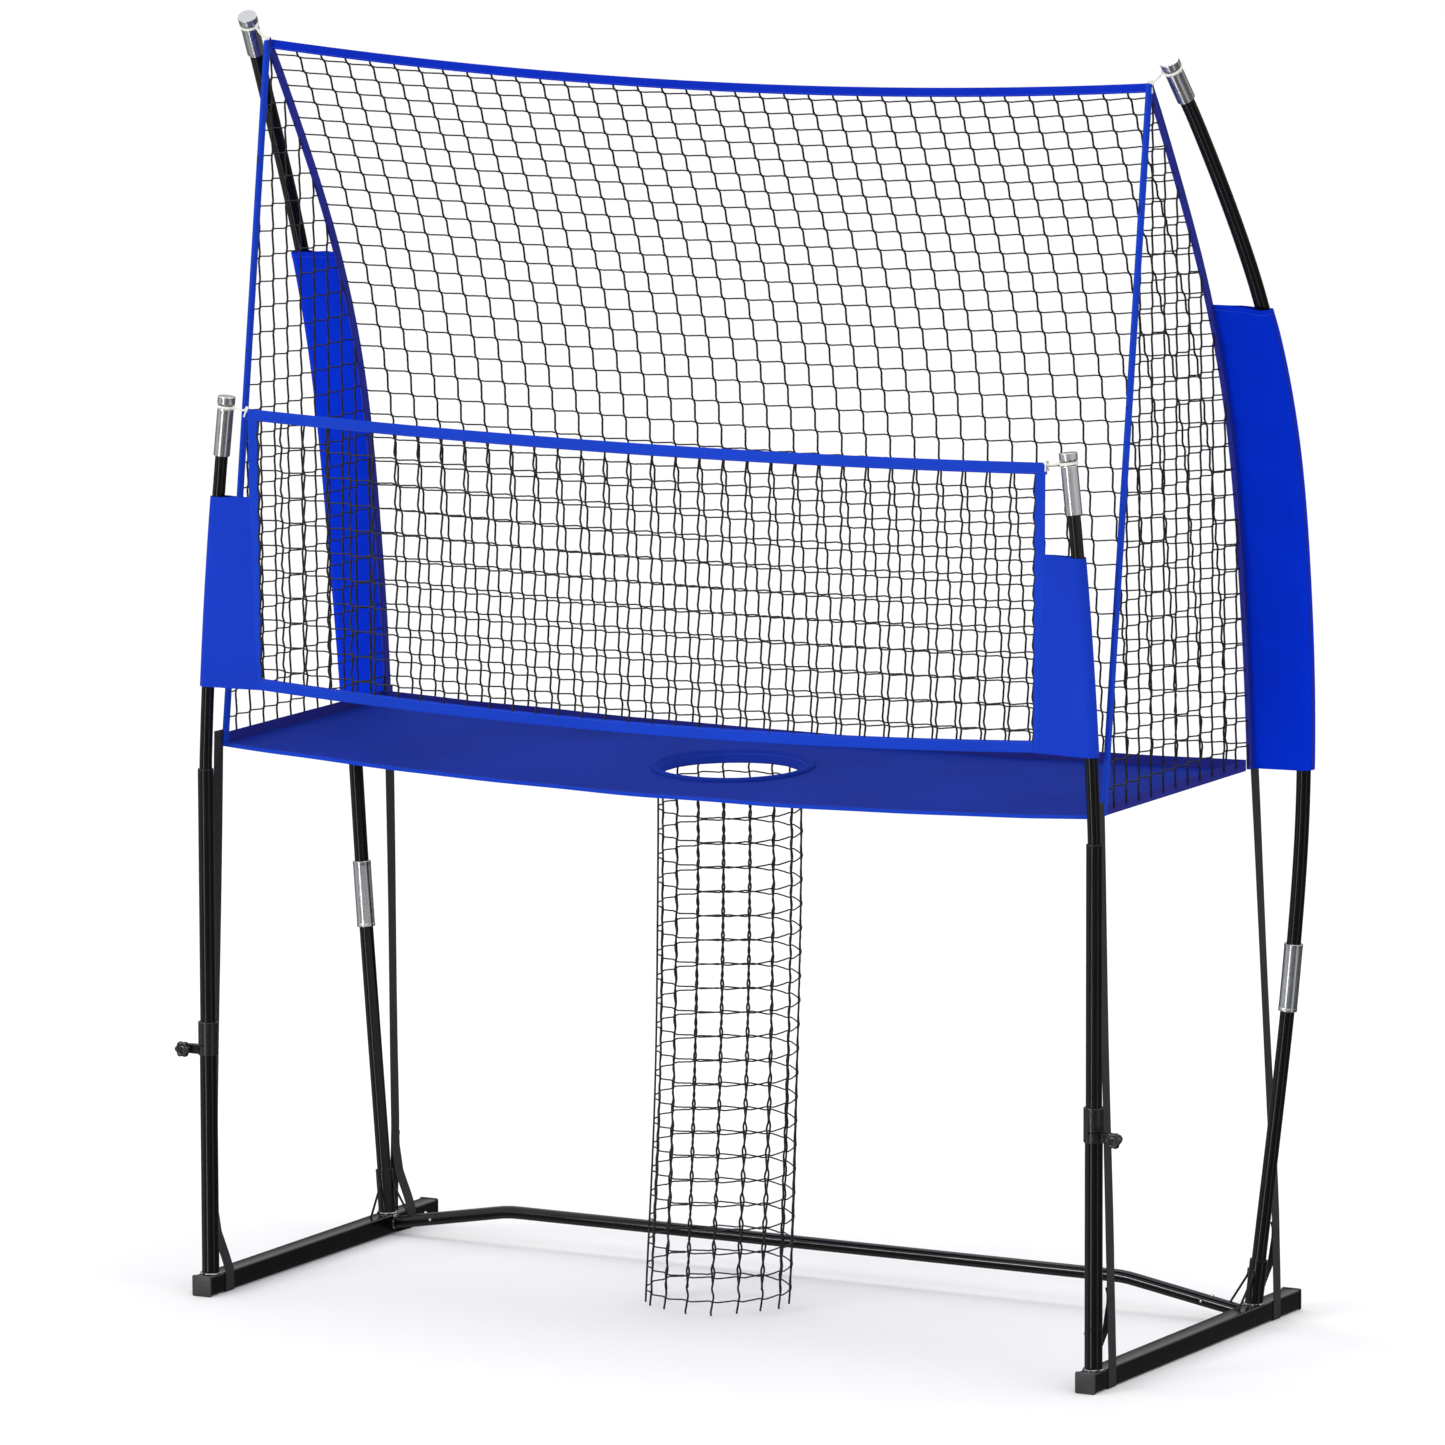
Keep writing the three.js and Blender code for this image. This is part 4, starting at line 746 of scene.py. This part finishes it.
def cloth(points, marks, thickness, loop=False):
    """A sheet with two skins and sewn edges, from rows of points; marks are its flat places in mm."""
    points, marks = asarray(points, float), asarray(marks, float)
    rows, columns = points.shape[:2]
    ahead = np.roll(points, -1, axis=1) - np.roll(points, 1, axis=1) if loop else np.gradient(points, axis=1)
    normals = np.cross(ahead, np.gradient(points, axis=0))
    normals /= np.maximum(np.linalg.norm(normals, axis=2, keepdims=True), 1e-9)
    skins = np.stack([points + normals * thickness / 2, points - normals * thickness / 2])
    index = np.arange(2 * rows * columns).reshape(2, rows, columns)
    if loop:
        index = concatenate([index, index[..., :1]], -1)
    front, back = index
    quads = np.stack([index[:, :-1, :-1], index[:, :-1, 1:], index[:, 1:, 1:], index[:, 1:, :-1]], -1)
    faces = [quads[0].reshape(-1, 4), quads[1].reshape(-1, 4)[:, ::-1]]
    edges = [(front[0], back[0], 1), (front[-1], back[-1], -1)]
    if not loop:
        edges += [(front[:, 0], back[:, 0], -1), (front[:, -1], back[:, -1], 1)]
    faces += [np.stack([near[:-1], far[:-1], far[1:], near[1:]], -1)[:, ::way] for near, far, way in edges]
    faces = concatenate(faces)
    return (skins.reshape(-1, 3), faces.tolist()), np.tile(marks.reshape(-1, 2), (2, 1))[faces.ravel()]


def fabric(side, name, sheet, finish, *nodes, body="stand"):
    """One piece of cloth, from its shape and its flat places."""
    shape, marks = sheet
    return place(side, name, shape, finish, *nodes, body=body, crease=60, marks=marks)


def woven(name, colour, dark, thread=1.6, gloss=0.06):
    """Plain-woven polyester: threads that are really 0.5 mm apart, drawn as coarse as they show."""
    finish = new_finish(name, "blue_fabric", Roughness=0.7, IOR=1.5, Specular_IOR_Level=gloss)
    tree = finish.node_tree
    places = add(tree, "ShaderNodeUVMap", uv_map="cloth_mm").outputs["UV"]
    wave = {"Vector": places, "Scale": tau / 20 / thread, "Distortion": 0.6, "Detail": 1.0,
            "Detail Scale": 0.4}
    threads = worked(tree, "MULTIPLY", *[
        add(tree, "ShaderNodeTexWave", wave, wave_type="BANDS", bands_direction=direction).outputs["Fac"]
        for direction in ("X", "Y")])
    cover = ranged(tree, worked(tree, "MULTIPLY_ADD", threads, 0.35, noise(finish, 3, 3)), 0.3, 0.8)
    tree.links.new(mixed(tree, cover, linear(dark), linear(colour), "RGBA"), sockets_of(finish)["Base Color"])
    vary(finish, threads, bump=(0.4, 0.0004))
    return finish


def sewing_thread(name, colour, slot="blue_fabric"):
    """Twisted polyester thread."""
    finish = new_finish(name, slot, colour, Roughness=0.6)
    grain(finish, 2200, 1, bump=(0.4, 0.0003))
    return finish


royal_oxford = woven("royal_blue_oxford_cloth", "#182F97", "#142984", gloss=0.02)
# A darker, greyer copy of the blue cloth for the tray's band, the seam tapes and the sails' closing seams:
# painted shade.
shaded_band = woven("painted_shade_band_cloth", "#262B88", "#202474", thread=2.0)
bright_binding = woven("royal_blue_binding_tape", "#123AB5", "#0F33A4", thread=2.2)
blue_thread = sewing_thread("blue_sewing_thread", "#2C4BC8")

corners = array([(cloth_half, cloth_rear), (-cloth_half, cloth_rear), (-cloth_half, cloth_front),
                 (cloth_half, cloth_front)], float)
outline = concatenate([start + (end - start) * linspace(0, 1, count, endpoint=False)[:, None]
                       for start, end, count in zip(corners, np.roll(corners, -1, axis=0), (100, 32) * 2)])
inner_ring = unit(outline - (0, hole_y)) * ring_radius + (0, hole_y)
tray_rings = [inner_ring * (1 - share) + outline * share for share in linspace(0, 1, 31)]
tray_grid = array([concatenate([flat, tray_z(flat[:, :1], flat[:, 1:])], -1) for flat in tray_rings])
tray = fabric(0, "tray_cloth", cloth(tray_grid, tray_grid[..., :2], cloth_thickness, loop=True),
              royal_oxford, "tray")

# Hem ring: a padded lip of the same cloth round the hole that runs down as a short funnel to a rolled rim,
# which the leaning chute pulls 8 mm to the left. Each step is a radius and a height over the cloth.
turns = circle(160)
lip_width, lip_low, funnel_rows = 11, 4.4, 5
hem_steps = [(ring_radius + dr, rise) for dr, rise in (
    (3, -0.5), (2.2, 2.5), (0.6, 5.4), (-2, 7.4), (-5, 8), (-8, 7), (-lip_width, lip_low))]
hem_steps += [(ring_radius - lip_width - (ring_radius - 13 - rim_radius) * share,
               lip_low - (ring_drop - 1) * share) for share in linspace(0.2, 1, funnel_rows)]
hem_steps += [(rim_radius + dr, -ring_drop - drop) for dr, drop in (
    (0.4, -2), (0, 0.4), (0.8, 2.8), (3.2, 3.6))]
ring_rows = []
for radius, rise in hem_steps:
    depth = clip((ring_radius - radius) / (ring_radius - rim_radius), 0, 1)
    radius = radius + 0.7 * sin(turns * 18) * depth
    x, y = radius * cos(turns) - rim_pull * depth, hole_y + radius * sin(turns)
    ring_rows.append(stacked(x, y, tray_z(x, y) + 1.5 + rise))
ring_marks = stacked(turns * 185, linspace(0, 56, len(hem_steps))[:, None])
ring = fabric(0, "hole_hem_ring", cloth(ring_rows, ring_marks, 2, loop=True), royal_oxford)


def stitches(path, length=4.2, gap=1.8, radius=0.6):
    """A row of sewn stitches on a path: short tubes, one for each stitch."""
    path = asarray(path, float)
    run = run_of(path)
    starts = np.arange(0, run[-1] - length, length + gap)
    at = starts[:, None] + (0, length / 2, length)
    places = np.stack([interp(at, run, path[:, axis]) for axis in range(3)], -1)
    return joined(*[tube_on(stitch, [radius * 0.5, radius, radius * 0.5], 4) for stitch in places])


hole_seams = [stitches(ring_rows[row] + (0, 0, 1.3), length=6, gap=2.5, radius=0.5) for row in (1, 8)]
place(0, "hole_stitching", joined(*hole_seams), blue_thread)

# Band: a folded strip sewn along three edges, standing up where the nets are sewn to it, and a hem in front.
# The band is painted a darker, greyer blue than the tray: painted shade.
edge = np.vstack([stacked(cloth_half, linspace(cloth_front, cloth_rear, 40)),
                  stacked(linspace(cloth_half, -cloth_half, 120)[1:], cloth_rear),
                  stacked(-cloth_half, linspace(cloth_rear, cloth_front, 40)[1:])])
ground, shares = tray_z(*edge.T), linspace(0, 1, 5)[:, None]
lean = 0.28 * sin(np.arange(len(edge)) * 0.9) * shares
band_rows = stacked(edge[:, 0] + np.sign(edge[:, 0]) * lean, edge[:, 1] + lean,
                    ground - 1 + (flange_height + 1) * shares)
band = fabric(0, "tray_side_band", cloth(band_rows, stacked(run_of(edge), 28 * shares), 1.6), shaded_band)
front_x = linspace(-cloth_half, cloth_half, 160)
hem_rows = [stacked(front_x, cloth_front + dy, tray_z(front_x, cloth_front) + dz)
            for dy, dz in ((-3, -6), (-4.6, -4), (-5, 0), (-4.6, 1.6), (-3, 2.2), (2, 1.9), (7, 1.4))]
hem_marks = stacked(front_x, linspace(0, 16, 7)[:, None])
front_hem = fabric(0, "tray_front_hem", cloth(hem_rows, hem_marks, 1), bright_binding)

# ------------------------ Mesh nets
# Knotless netting of black polyester twine, about 65 mm squares; the upright strands are the thicker ones.
# Each strand steps aside at every crossing, where it is worked through the other, and runs back between them.
back_top, back_sag, side_x = 3155, 55, 1236.8
upright_twine, level_twine, upright_step, level_step = 2.7, 2.0, 2.5, 2.0
back_columns, cell, tail = 36, 63.6, 16

# Two-ply lay, really 2 mm long, drawn 5 mm long so that it shows as faint bars along each strand.
black_twine = new_finish("black_polyester_twine", "net_cord", Roughness=0.45, IOR=1.5,
                         Specular_IOR_Level=0.35)
grain(black_twine, 420, 2, tones=((0.35, "#050506"), (0.65, "#171718")), bump=(0.6, 0.0006))

phases = linspace(-0.5, 0.5, 8, endpoint=False) + 0.0625


def aside(phase, step):
    """How far aside a strand is, at a place in cells from a crossing: quick there, slow between."""
    turned = 2 * pi * phase
    return -step * (sin(turned) + 0.36 * sin(2 * turned))[:, None] / 1.14


def samples(low, high):
    """Places along a strand between two cell counts, eight to a cell."""
    cells = np.arange(floor(low) - 1, ceil(high) + 2)
    places = np.sort((cells[:, None] + phases).ravel())
    return concatenate([[low], places[(places > low + 0.02) & (places < high - 0.02)], [high]])


def netting(surface, rows, row_range, columns, column_range):
    """A net's strands on a surface that turns (column, row) counts into a place and its directions.

    A range says where a row or column starts and ends.
    """
    strands = []
    for counts, held, step, radius, order in ((rows, row_range, level_step, level_twine, 1),
                                              (columns, column_range, upright_step, upright_twine, -1)):
        for count in counts:
            low, high = held(count)
            if high - low > 0.2:
                run = samples(low, high)
                point, *ways = surface(*(run, np.full_like(run, count))[::order])
                strands.append(tube_on(point + ways[::order][1] * aside(run, step), radius, 5))
    return joined(*strands)


# Back net: its rows lie closer together in height where the bow leans to the front.
row_pitch = array(((1380, 63.4), (2100, 62.5), (2300, 59.5), (2630, 51.5), (3000, 43), (3155, 39.5)))
row_heights = linspace(corner_height, back_top, 800)
row_pitches = interp(row_heights, *row_pitch.T)
row_counts = concatenate([[0], np.cumsum(2 * np.diff(row_heights) / (row_pitches[1:] + row_pitches[:-1]))])
back_rows = row_counts[-1]


def back_surface(u, v):
    """A place on the back net, u columns from the left and v rows above the tray."""
    x = cloth_half * (2 * u / back_columns - 1)
    dip = rear_dip + (back_sag - rear_dip) * (v / back_rows) ** 1.3
    z = interp(v, row_counts, row_heights) - dip * (1 - (x / cloth_half) ** 2)
    upward = unit(stacked(0.0, seam_y(z + 2) - seam_y(z - 2), np.full_like(z, 4.0)))
    return stacked(x, seam_y(z), z), X, upward


back_net = netting(back_surface, np.arange(1, back_rows - 0.4), lambda j: (0.0, float(back_columns)),
                   range(back_columns + 1), lambda i: ((flange_height - tail) / cell, back_rows - 0.35))
place(0, "back_netting", back_net, black_twine, "back_net_lower", "back_net_middle", "back_net_upper",
      crease=80)

# Side nets: upright strands that the leaning front edge and the bowed seam cut short.
side_front_low, side_front_high, side_top, side_cell = cloth_front, -230, back_top - 27, 66.9


def side_front(z):
    """Where the side net's front edge is at a height."""
    reach = side_front_high - side_front_low
    return side_front_low + reach * (z - corner_height) / (side_top - corner_height)


def side_surface(u, v):
    """A place on the right side net, u columns behind the tray's front and v rows up; sewn in reversed."""
    return stacked(side_x, side_front_low + u * side_cell, corner_height + v * cell), -Y, -Z


def side_row(j):
    """How far back a row starts and ends."""
    z = corner_height + j * cell
    return (side_front(z) - side_front_low) / side_cell, (seam_y(z) - side_front_low) / side_cell


def side_column(i):
    """How low and high an upright strand starts and ends."""
    y = side_front_low + i * side_cell
    heights = linspace(corner_height + flange_height - tail, side_top, 600)
    held = heights[(side_front(heights) <= y) & (seam_y(heights) >= y)]
    return (held[[0, -1]] - corner_height) / cell if len(held) else (0, 0)


side_net = netting(side_surface, np.arange(1, 28), side_row, np.arange(0, 14), side_column)
for side in sides:
    place(side, "{}_side_netting", side_net, black_twine, "{}_side_net", crease=80)

# Front net: the same netting, drawn tight between the two blue pockets.
net_top, net_low, net_top_sag, net_low_sag = 2263, 1555, 20, 33
net_half_low, net_half_top, mesh_half_low, mesh_half_top = 1082, 1117, 1083, 1088
front_columns, front_rows = 33, 11.3


def front_surface(u, v):
    """A place on the front net, u columns from the left and v rows above its lower edge."""
    across, share = 2 * u / front_columns - 1, v / front_rows
    low = net_low - net_low_sag * (1 - across ** 2)
    z = low + (net_top - net_top_sag * (1 - across ** 2) - low) * share
    return stacked(across * (mesh_half_low + (mesh_half_top - mesh_half_low) * share), mast_y, z), X, Z


front_net = netting(front_surface, np.arange(0.9, front_rows - 0.4), lambda j: (-0.1, front_columns + 0.1),
                    range(front_columns + 1), lambda i: (0.25, front_rows - 0.25))
place(0, "front_netting", front_net, black_twine, "front_net", body="left_mast", crease=80)

# Chute: a tube of the same netting that hangs from the hole to the floor, its loose ends left hanging.
chute_columns, chute_low, chute_neck, chute_lean, chute_cell = 17, 6, 60, -40, 61.4
neck_radius_top, chute_radius, chute_turn = 176, 180, radians(-151.3)
chute_high = tray_z(0, hole_y) - ring_drop + 4
chute_rows = (chute_high - chute_low) / chute_cell


def chute_surface(u, v):
    """A place on the chute, u strands round it and v rows above the floor end."""
    z = chute_low + v * chute_cell
    share = (chute_high - z) / (chute_high - chute_low)
    turned = 2 * pi * u / chute_columns + chute_turn
    slack = clip((chute_high - z) / chute_neck, 0, 1)
    radius = (neck_radius_top + (chute_radius - neck_radius_top) * slack
              + 2.5 * sin(2 * turned + z / 170) * share)
    x, y = chute_lean * share ** 2 - rim_pull + radius * cos(turned), hole_y + radius * sin(turned)
    return stacked(x, y, z), stacked(-sin(turned), cos(turned), 0.0), Z


chute_net = netting(chute_surface, np.arange(0.62, chute_rows, 1.0), lambda j: (0, chute_columns),
                    range(chute_columns), lambda i: (0.03 + 0.1 * sin(i * 2.3) ** 2, chute_rows))
place(0, "chute_netting", chute_net, black_twine, "chute", crease=80)

# ------------------------ Binding tapes
# Folded blue tape is sewn over the nets' free edges, and thicker tape along the seams where the nets meet.
# It is 22 mm to 30 mm wide once folded, with one row of stitching on each face.
stitch_inset = 4.0


def tape(path, across, width, thick, around=16):
    """A folded tape along a path, a flat oval whose long side lies across it: its shape and flat places."""
    ways = unit(np.gradient(path, axis=0))
    across = unit(across - ways * (across * ways).sum(1)[:, None])
    angles = circle(around)
    wide = np.sign(cos(angles)) * abs(cos(angles)) ** 0.55 * width / 2
    deep = np.sign(sin(angles)) * abs(sin(angles)) ** 0.8 * thick / 2
    rings = path[:, None] + wide[:, None] * across[:, None] + deep[:, None] * np.cross(ways, across)[:, None]
    run, girth = run_of(path), np.arange(around + 1) * (2 * width / around)
    marks = [mark for low, high in zip(run, run[1:]) for a, b in zip(girth, girth[1:])
             for mark in ((low, a), (low, b), (high, b), (high, a))]
    marks += [(run[0], g) for g in girth[-2::-1]] + [(run[-1], g) for g in girth[:-1]]
    return loft(rings), array(marks)


def edge_tape(side, name, path, across, width, thick, finish, body="stand", face=Y):
    """A binding tape with its row of stitches on both faces."""
    fabric(side, name, tape(path, across, width, thick), finish, body=body)
    seam, lift = path + across * (width / 2 - stitch_inset), face * (thick / 2 - 0.05)
    rows = joined(*[stitches(seam + way * lift, radius=0.55) for way in (-1, 1)])
    place(side, name + "_stitching", rows, blue_thread, body=body)


dark_binding = woven("deep_blue_binding_tape", "#0024A9", "#001F96", thread=2.2)
top_tape, low_tape, back_tape, side_tape, seam_tape, side_top_tape = 29, 30, 25, 22, 27, 24
for name, half, edge_z, sag, width, way in (("top", net_half_top, net_top, net_top_sag, top_tape, -1),
                                            ("low", net_half_low, net_low, net_low_sag, low_tape, 1)):
    x = linspace(-half - 3, half + 3, 140)
    z = edge_z - sag * (1 - (x / half) ** 2) + way * width / 2
    edge_tape(0, "front_net_" + name + "_tape", stacked(x, mast_y, z), way * Z, width, 5.2, bright_binding,
              "left_mast")
z = linspace(net_low + 2, net_top - 2, 60)
x = mesh_half_low + (mesh_half_top - mesh_half_low) * (z - net_low) / (net_top - net_low) + top_tape / 2
for side in sides:
    edge_tape(side, "front_net_{}_tape", stacked(x, mast_y, z), X, top_tape, 4.6, bright_binding, "left_mast")
x = linspace(-cloth_half, cloth_half, 160)
z = back_top - back_sag * (1 - (x / cloth_half) ** 2) - back_tape / 2
edge_tape(0, "back_net_top_tape", stacked(x, seam_y(z), z), -0.5 * Y - 0.87 * Z, back_tape, 5.2, dark_binding)
front_z = linspace(corner_height + 1, back_top - 3, 90)
seam_z = linspace(corner_height + 2, back_top - 2, 140)
top_y = linspace(side_front_high + 8, seam_y(back_top), 12)
for side in sides:
    for name, path, across, width, thick, finish in (
            ("side_front", stacked(side_x, side_front(front_z) + side_tape / 2, front_z), Y, side_tape, 12,
             bright_binding),
            # The seam tape is painted in the darker band blue: painted shade.
            ("seam", stacked(side_x - 1, seam_y(seam_z) - seam_tape / 2 + 5, seam_z), -Y, seam_tape, 11,
             shaded_band),
            ("side_top", stacked(side_x, top_y, back_top - 15), -Z, side_top_tape, 6, dark_binding)):
        edge_tape(side, "{}_" + name + "_tape", path, across, width, thick, finish, face=-X)

# ------------------------ Sails and pockets
# Each sail is a long sleeve of royal-blue oxford cloth round a bowed pole, sewn shut where it meets the nets.
# The pockets are shorter sleeves of the same cloth that slide over the front poles and stretch the front net.
sail_low, sail_high, sail_radius, sail_seam_x = 1403, 2582, rear_radius + 9.3, 1238.6
pocket_low, pocket_high, pocket_radius = 1555, 2040, pole_radius + 4
sleeve_cloth, end_fade = 1.2, 60


def sleeve_ring(middle, seam, radius, straight=14, arc=26):
    """A teardrop in a level plane: from the seam, tangent to the pole's loose ring, round it and back."""
    toward = seam - middle
    open_angle = acos(min(0.999, radius / np.linalg.norm(toward)))
    turned = atan2(toward[1], toward[0]) + linspace(open_angle, 2 * pi - open_angle, arc)
    round_pole = middle + radius * stacked(cos(turned), sin(turned))
    shares = linspace(0, 1, straight + 1)[:, None]
    return concatenate([seam + (round_pole[0] - seam) * shares[:-1], round_pole,
                        round_pole[-1] + (seam - round_pole[-1]) * shares[1:]])


def sleeve(line, seam, heights, radius, edge_dip, fullness, seed):
    """A sleeve of cloth on a pole: its ends dip between seam and pole, and soft folds slant over it."""
    draw = np.random.default_rng(seed)
    waves = [(draw.uniform(0.5, 1), draw.uniform(150, 420), draw.uniform(-2.5, 2.5), draw.uniform(0, 6.3))
             for _ in range(7)]
    rows, marks = [], []
    for z in heights:
        ring = sleeve_ring(line(z)[0][:2], seam(z), radius)
        run = run_of(ring)
        share = run / run[-1]
        loose = sin(pi * clip(np.minimum(share, 1 - share) * 3.2, 0, 1))
        fold = sum(size * sin(2 * pi * z / length + tilt * share * 6 + start)
                   for size, length, tilt, start in waves) / 3
        ways = unit(np.gradient(ring, axis=0))
        ring = ring + stacked(ways[:, 1], -ways[:, 0]) * (loose * fullness * (0.35 + fold))[:, None]
        from_low, from_high = (clip(gap / end_fade, 0, 1) for gap in (z - heights[0], heights[-1] - z))
        dip = edge_dip * sin(pi * share) ** 2
        scallop = 0.25 * edge_dip * sin(pi * share) * sin(share * 23 + seed)
        level = z - (dip + scallop) * (1 - from_high) + 0.5 * dip * (1 - from_low)
        rows.append(stacked(*ring.T, level))
        marks.append(stacked(run, level))
    return cloth(rows, marks, sleeve_cloth), array(rows)


sail_cloth = woven("royal_blue_sail_cloth", "#002BC4", "#0026B2", gloss=0.03)
pocket_cloth = woven("royal_blue_pocket_cloth", "#1035B2", "#0E2FA2")


def sail_seam(z):
    """Where a sail is sewn to the nets."""
    return array((sail_seam_x, seam_y(z)))


def pocket_seam(z):
    """The side edge of the front net, where a pocket is sewn on."""
    x = net_half_low + (net_half_top - net_half_low) * (z - net_low) / (net_top - net_low)
    return array((x, mast_y))


def sewn_sleeve(side, kind, line, seam, low, high, count, radius, dip, fullness, seed, columns, finish, body):
    """A sail or a pocket with its stitching: the piece, its rows of points, their heights and girths."""
    heights = array([low, low + 1.5, *linspace(low + 6, high - 6, count), high - 1.5, high])
    sheet, rows = sleeve(line, seam, heights, radius, dip, fullness, seed + side)
    made = fabric(side, "{}_" + kind + "_cloth", sheet, finish, "{}_" + kind, body=body)
    seams = [stitches(rows[3:-3, column]) for column in columns]
    seams += [stitches(rows[row] + (0, 0, shift)) for row, shift in ((0, 12), (-1, -12))]
    place(side, "{}_" + kind + "_stitching", joined(*seams), blue_thread, body=body)
    return made, rows, heights, spans(rows, 1).sum(1)


# The flat width of a sleeve is its girth, measured on the drawn rows.
closing_turn = radians(-16)
closing_way = cos(closing_turn) * X + sin(closing_turn) * Y
for side, word in zip(sides, ("left", "right")):
    sail, rows, heights, girths = sewn_sleeve(side, "sail", rear_line, sail_seam, sail_low, sail_high, 120,
                                              sail_radius, 7, 1.3, 11, (5, -6), sail_cloth, "stand")
    closing = [rear_line(z)[0] + closing_way * (sail_radius + 0.9) for z in heights[2:-2]]
    # The closing seam is painted in the darker band blue: painted shade.
    place(side, "{}_sail_closing_seam", tube_on(closing, 1.4, 6), shaded_band)
    pocket, *_, girths = sewn_sleeve(side, "pocket", front_line, pocket_seam, pocket_low, pocket_high, 60,
                                     pocket_radius, 2, 0.9, 21, (2, -3), pocket_cloth, "{}_mast")

# ------------------------ Straps
# Black polypropylene webbing, 40 mm wide, goes from each tray corner down the bar's outer face and under it.
# It comes up the inner face and is sewn back on itself about 160 mm above the bar, with a short loose end.
strap_width, strap_thick, strap_top, strap_top_x, strap_join, strap_end = 40, 1.5, 1436, 1239.9, 213, 38
strap_low, strap_step = 0.3 + strap_thick / 2, 24
black_thread = sewing_thread("black_sewing_thread", "#1C1C1E", "black_webbing")

# Twill webbing: V-shaped ribs that are really 1.2 mm apart, drawn at 3 mm so that they show.
webbing = new_finish("black_webbing", "black_webbing", Roughness=0.7, IOR=1.5, Specular_IOR_Level=0.3,
                     Sheen_Weight=0.22, Sheen_Roughness=0.45, Sheen_Tint=linear("#8A8A90"))
tree = webbing.node_tree
flat = add(tree, "ShaderNodeUVMap", uv_map="cloth_mm").outputs["UV"]
parts = add(tree, "ShaderNodeSeparateXYZ", {"Vector": flat}).outputs
slant = worked(tree, "ADD", parts["X"], worked(tree, "PINGPONG", parts["Y"], 5.0))
ribs = ranged(tree, worked(tree, "PINGPONG", slant, 1.5), 0, 1.5)
vary(webbing, ribs, tones=((0, "#101011"), (1, "#272729")), bump=(0.5, 0.0005))

skin, inner = bar_x + bar_side / 2 + strap_low, bar_x - bar_side / 2 - strap_low
join_x = skin + (strap_top_x - skin) * (strap_join - 70) / (strap_top - 70) - strap_thick - 0.1
shares = linspace(-0.5, 0.5, 7)
for side in sides:
    for end, strap_y, top_shift in (("front", mast_y + 50, 0), ("rear", rear_y + 79, -70)):
        bent = rounded([(strap_top_x, strap_top), (skin, 70), (skin, strap_low), (inner, strap_low),
                        (inner, bar_top + 2), (inner + 12, 88), (join_x - 11, 148),
                        (join_x - 0.8, strap_join), (join_x - 0.2, strap_join + 22),
                        (join_x - 3 - side, strap_join + strap_end)], 4, 8)
        path = [bent[0]]
        for a, b in zip(bent, bent[1:]):
            parts = max(1, int(np.linalg.norm(b - a) / strap_step))
            path += [a + (b - a) * k / parts for k in range(1, parts + 1)]
        path = array(path)
        run = run_of(path)
        rise = clip((path[:, 1] - strap_join - 60) / (strap_top - strap_join - 60), 0, 1)
        y = strap_y + top_shift * rise + 1.2 * sin(run / 170 + side) * clip(rise * 6, 0, 1)
        twist = 1.8 * sin(run / 210 + side * 2)[:, None] * shares * clip(rise * 8, 0, 1)[:, None]
        grid = stacked(path[:, :1] + twist, y[:, None] + strap_width * shares, path[:, 1:])
        strap = cloth(grid, stacked(run[:, None], strap_width * shares), strap_thick)
        fabric(side, "{}_" + end + "_webbing", strap, webbing, "{}_" + end + "_strap")
        box = [(join_x + 2.6, strap_y + dy, strap_join + dz) for dy, dz in
               ((-16, -2), (16, -2), (16, 16), (-16, 16), (-16, -2), (16, 16), (16, -2), (-16, 16))]
        place(side, "{}_" + end + "_strap_stitching", stitches(box), black_thread)

# ------------------------ Ties
# White 5 mm braided cord: two turns in the tip's groove, a double run to the net's corner, a knot and tails.
# The braid's picks are 1.5 mm long, drawn at 2.2 mm.
cord_radius = 2.5
braided_cord = new_finish("white_braided_cord", "white_cord", Roughness=0.7, IOR=1.5)
tree = braided_cord.node_tree
places = add(tree, "ShaderNodeTexCoord").outputs["Object"]
braid = add(tree, "ShaderNodeTexVoronoi", {"Vector": places, "Scale": 450.0}).outputs["Distance"]
vary(braided_cord, braid, tones=((0, "#F3F2EC"), (1, "#B9B8B0")), bump=(0.6, 0.0006), invert=True)


def tie_cord(line, low, high, length, radius, corner):
    """The turns round a pole's tip and the run to a net corner."""
    way = unit(line(high)[0] - line(low)[0])
    middle = line(low)[0] + way * (length - groove_drop)
    toward = corner - middle
    toward = unit(toward - way * (toward @ way))
    beside = np.cross(way, toward)
    rise = np.cross(toward, beside)
    coil_radius = radius + tip_room + tip_wall - groove_depth + cord_radius + 0.3
    shares = linspace(0, 1, 73)[:, None]
    turned = 4 * pi * shares
    coil = hoop(middle, coil_radius, toward, beside, turned) + way * (shares - 0.5) * 2 * cord_radius
    knot = middle + toward * (coil_radius + 3.2)
    shares = linspace(0, 1, 12)[:, None]
    swing = sin(pi * shares)
    runs = [knot + (corner - knot) * shares + swing * (spread * beside - 2 * Z) for spread in (2.2, -2.2)]
    angles = circle(20)[:, None]
    lumps = [hoop(at, size, beside, rise, angles) + toward * (size * 0.4 * sin(2 * angles) + push)
             for at, size, push in ((knot, 3.0, 0), (corner + 3 * Z, 4.4, -3.5), (corner + 3 * Z, 3.8, 0.5))]
    shares = linspace(0, 1, 8)[:, None]
    tails = [corner + (beside * spread * 6 - toward * 5) * shares - 17 * Z * shares ** 2
             for spread in (1.6, -1.2)]
    return joined(tube_on(coil, cord_radius, 10), *[tube_on(path, cord_radius * 0.9, 8) for path in runs],
                  *[tube_on(lump, cord_radius, 8, loop=True) for lump in lumps],
                  *[tube_on(path, cord_radius * 0.9, 8) for path in tails])


front_cord = tie_cord(*front_end, array((net_half_top, mast_y, net_top - 4)))
rear_cord = tie_cord(*rear_end, array((side_x, seam_y(back_top), back_top - 4)))
for side in sides:
    place(side, "{}_front_cord", front_cord, braided_cord, "{}_front_tie", body="{}_mast")
    place(side, "{}_rear_cord", rear_cord, braided_cord, "{}_rear_tie")
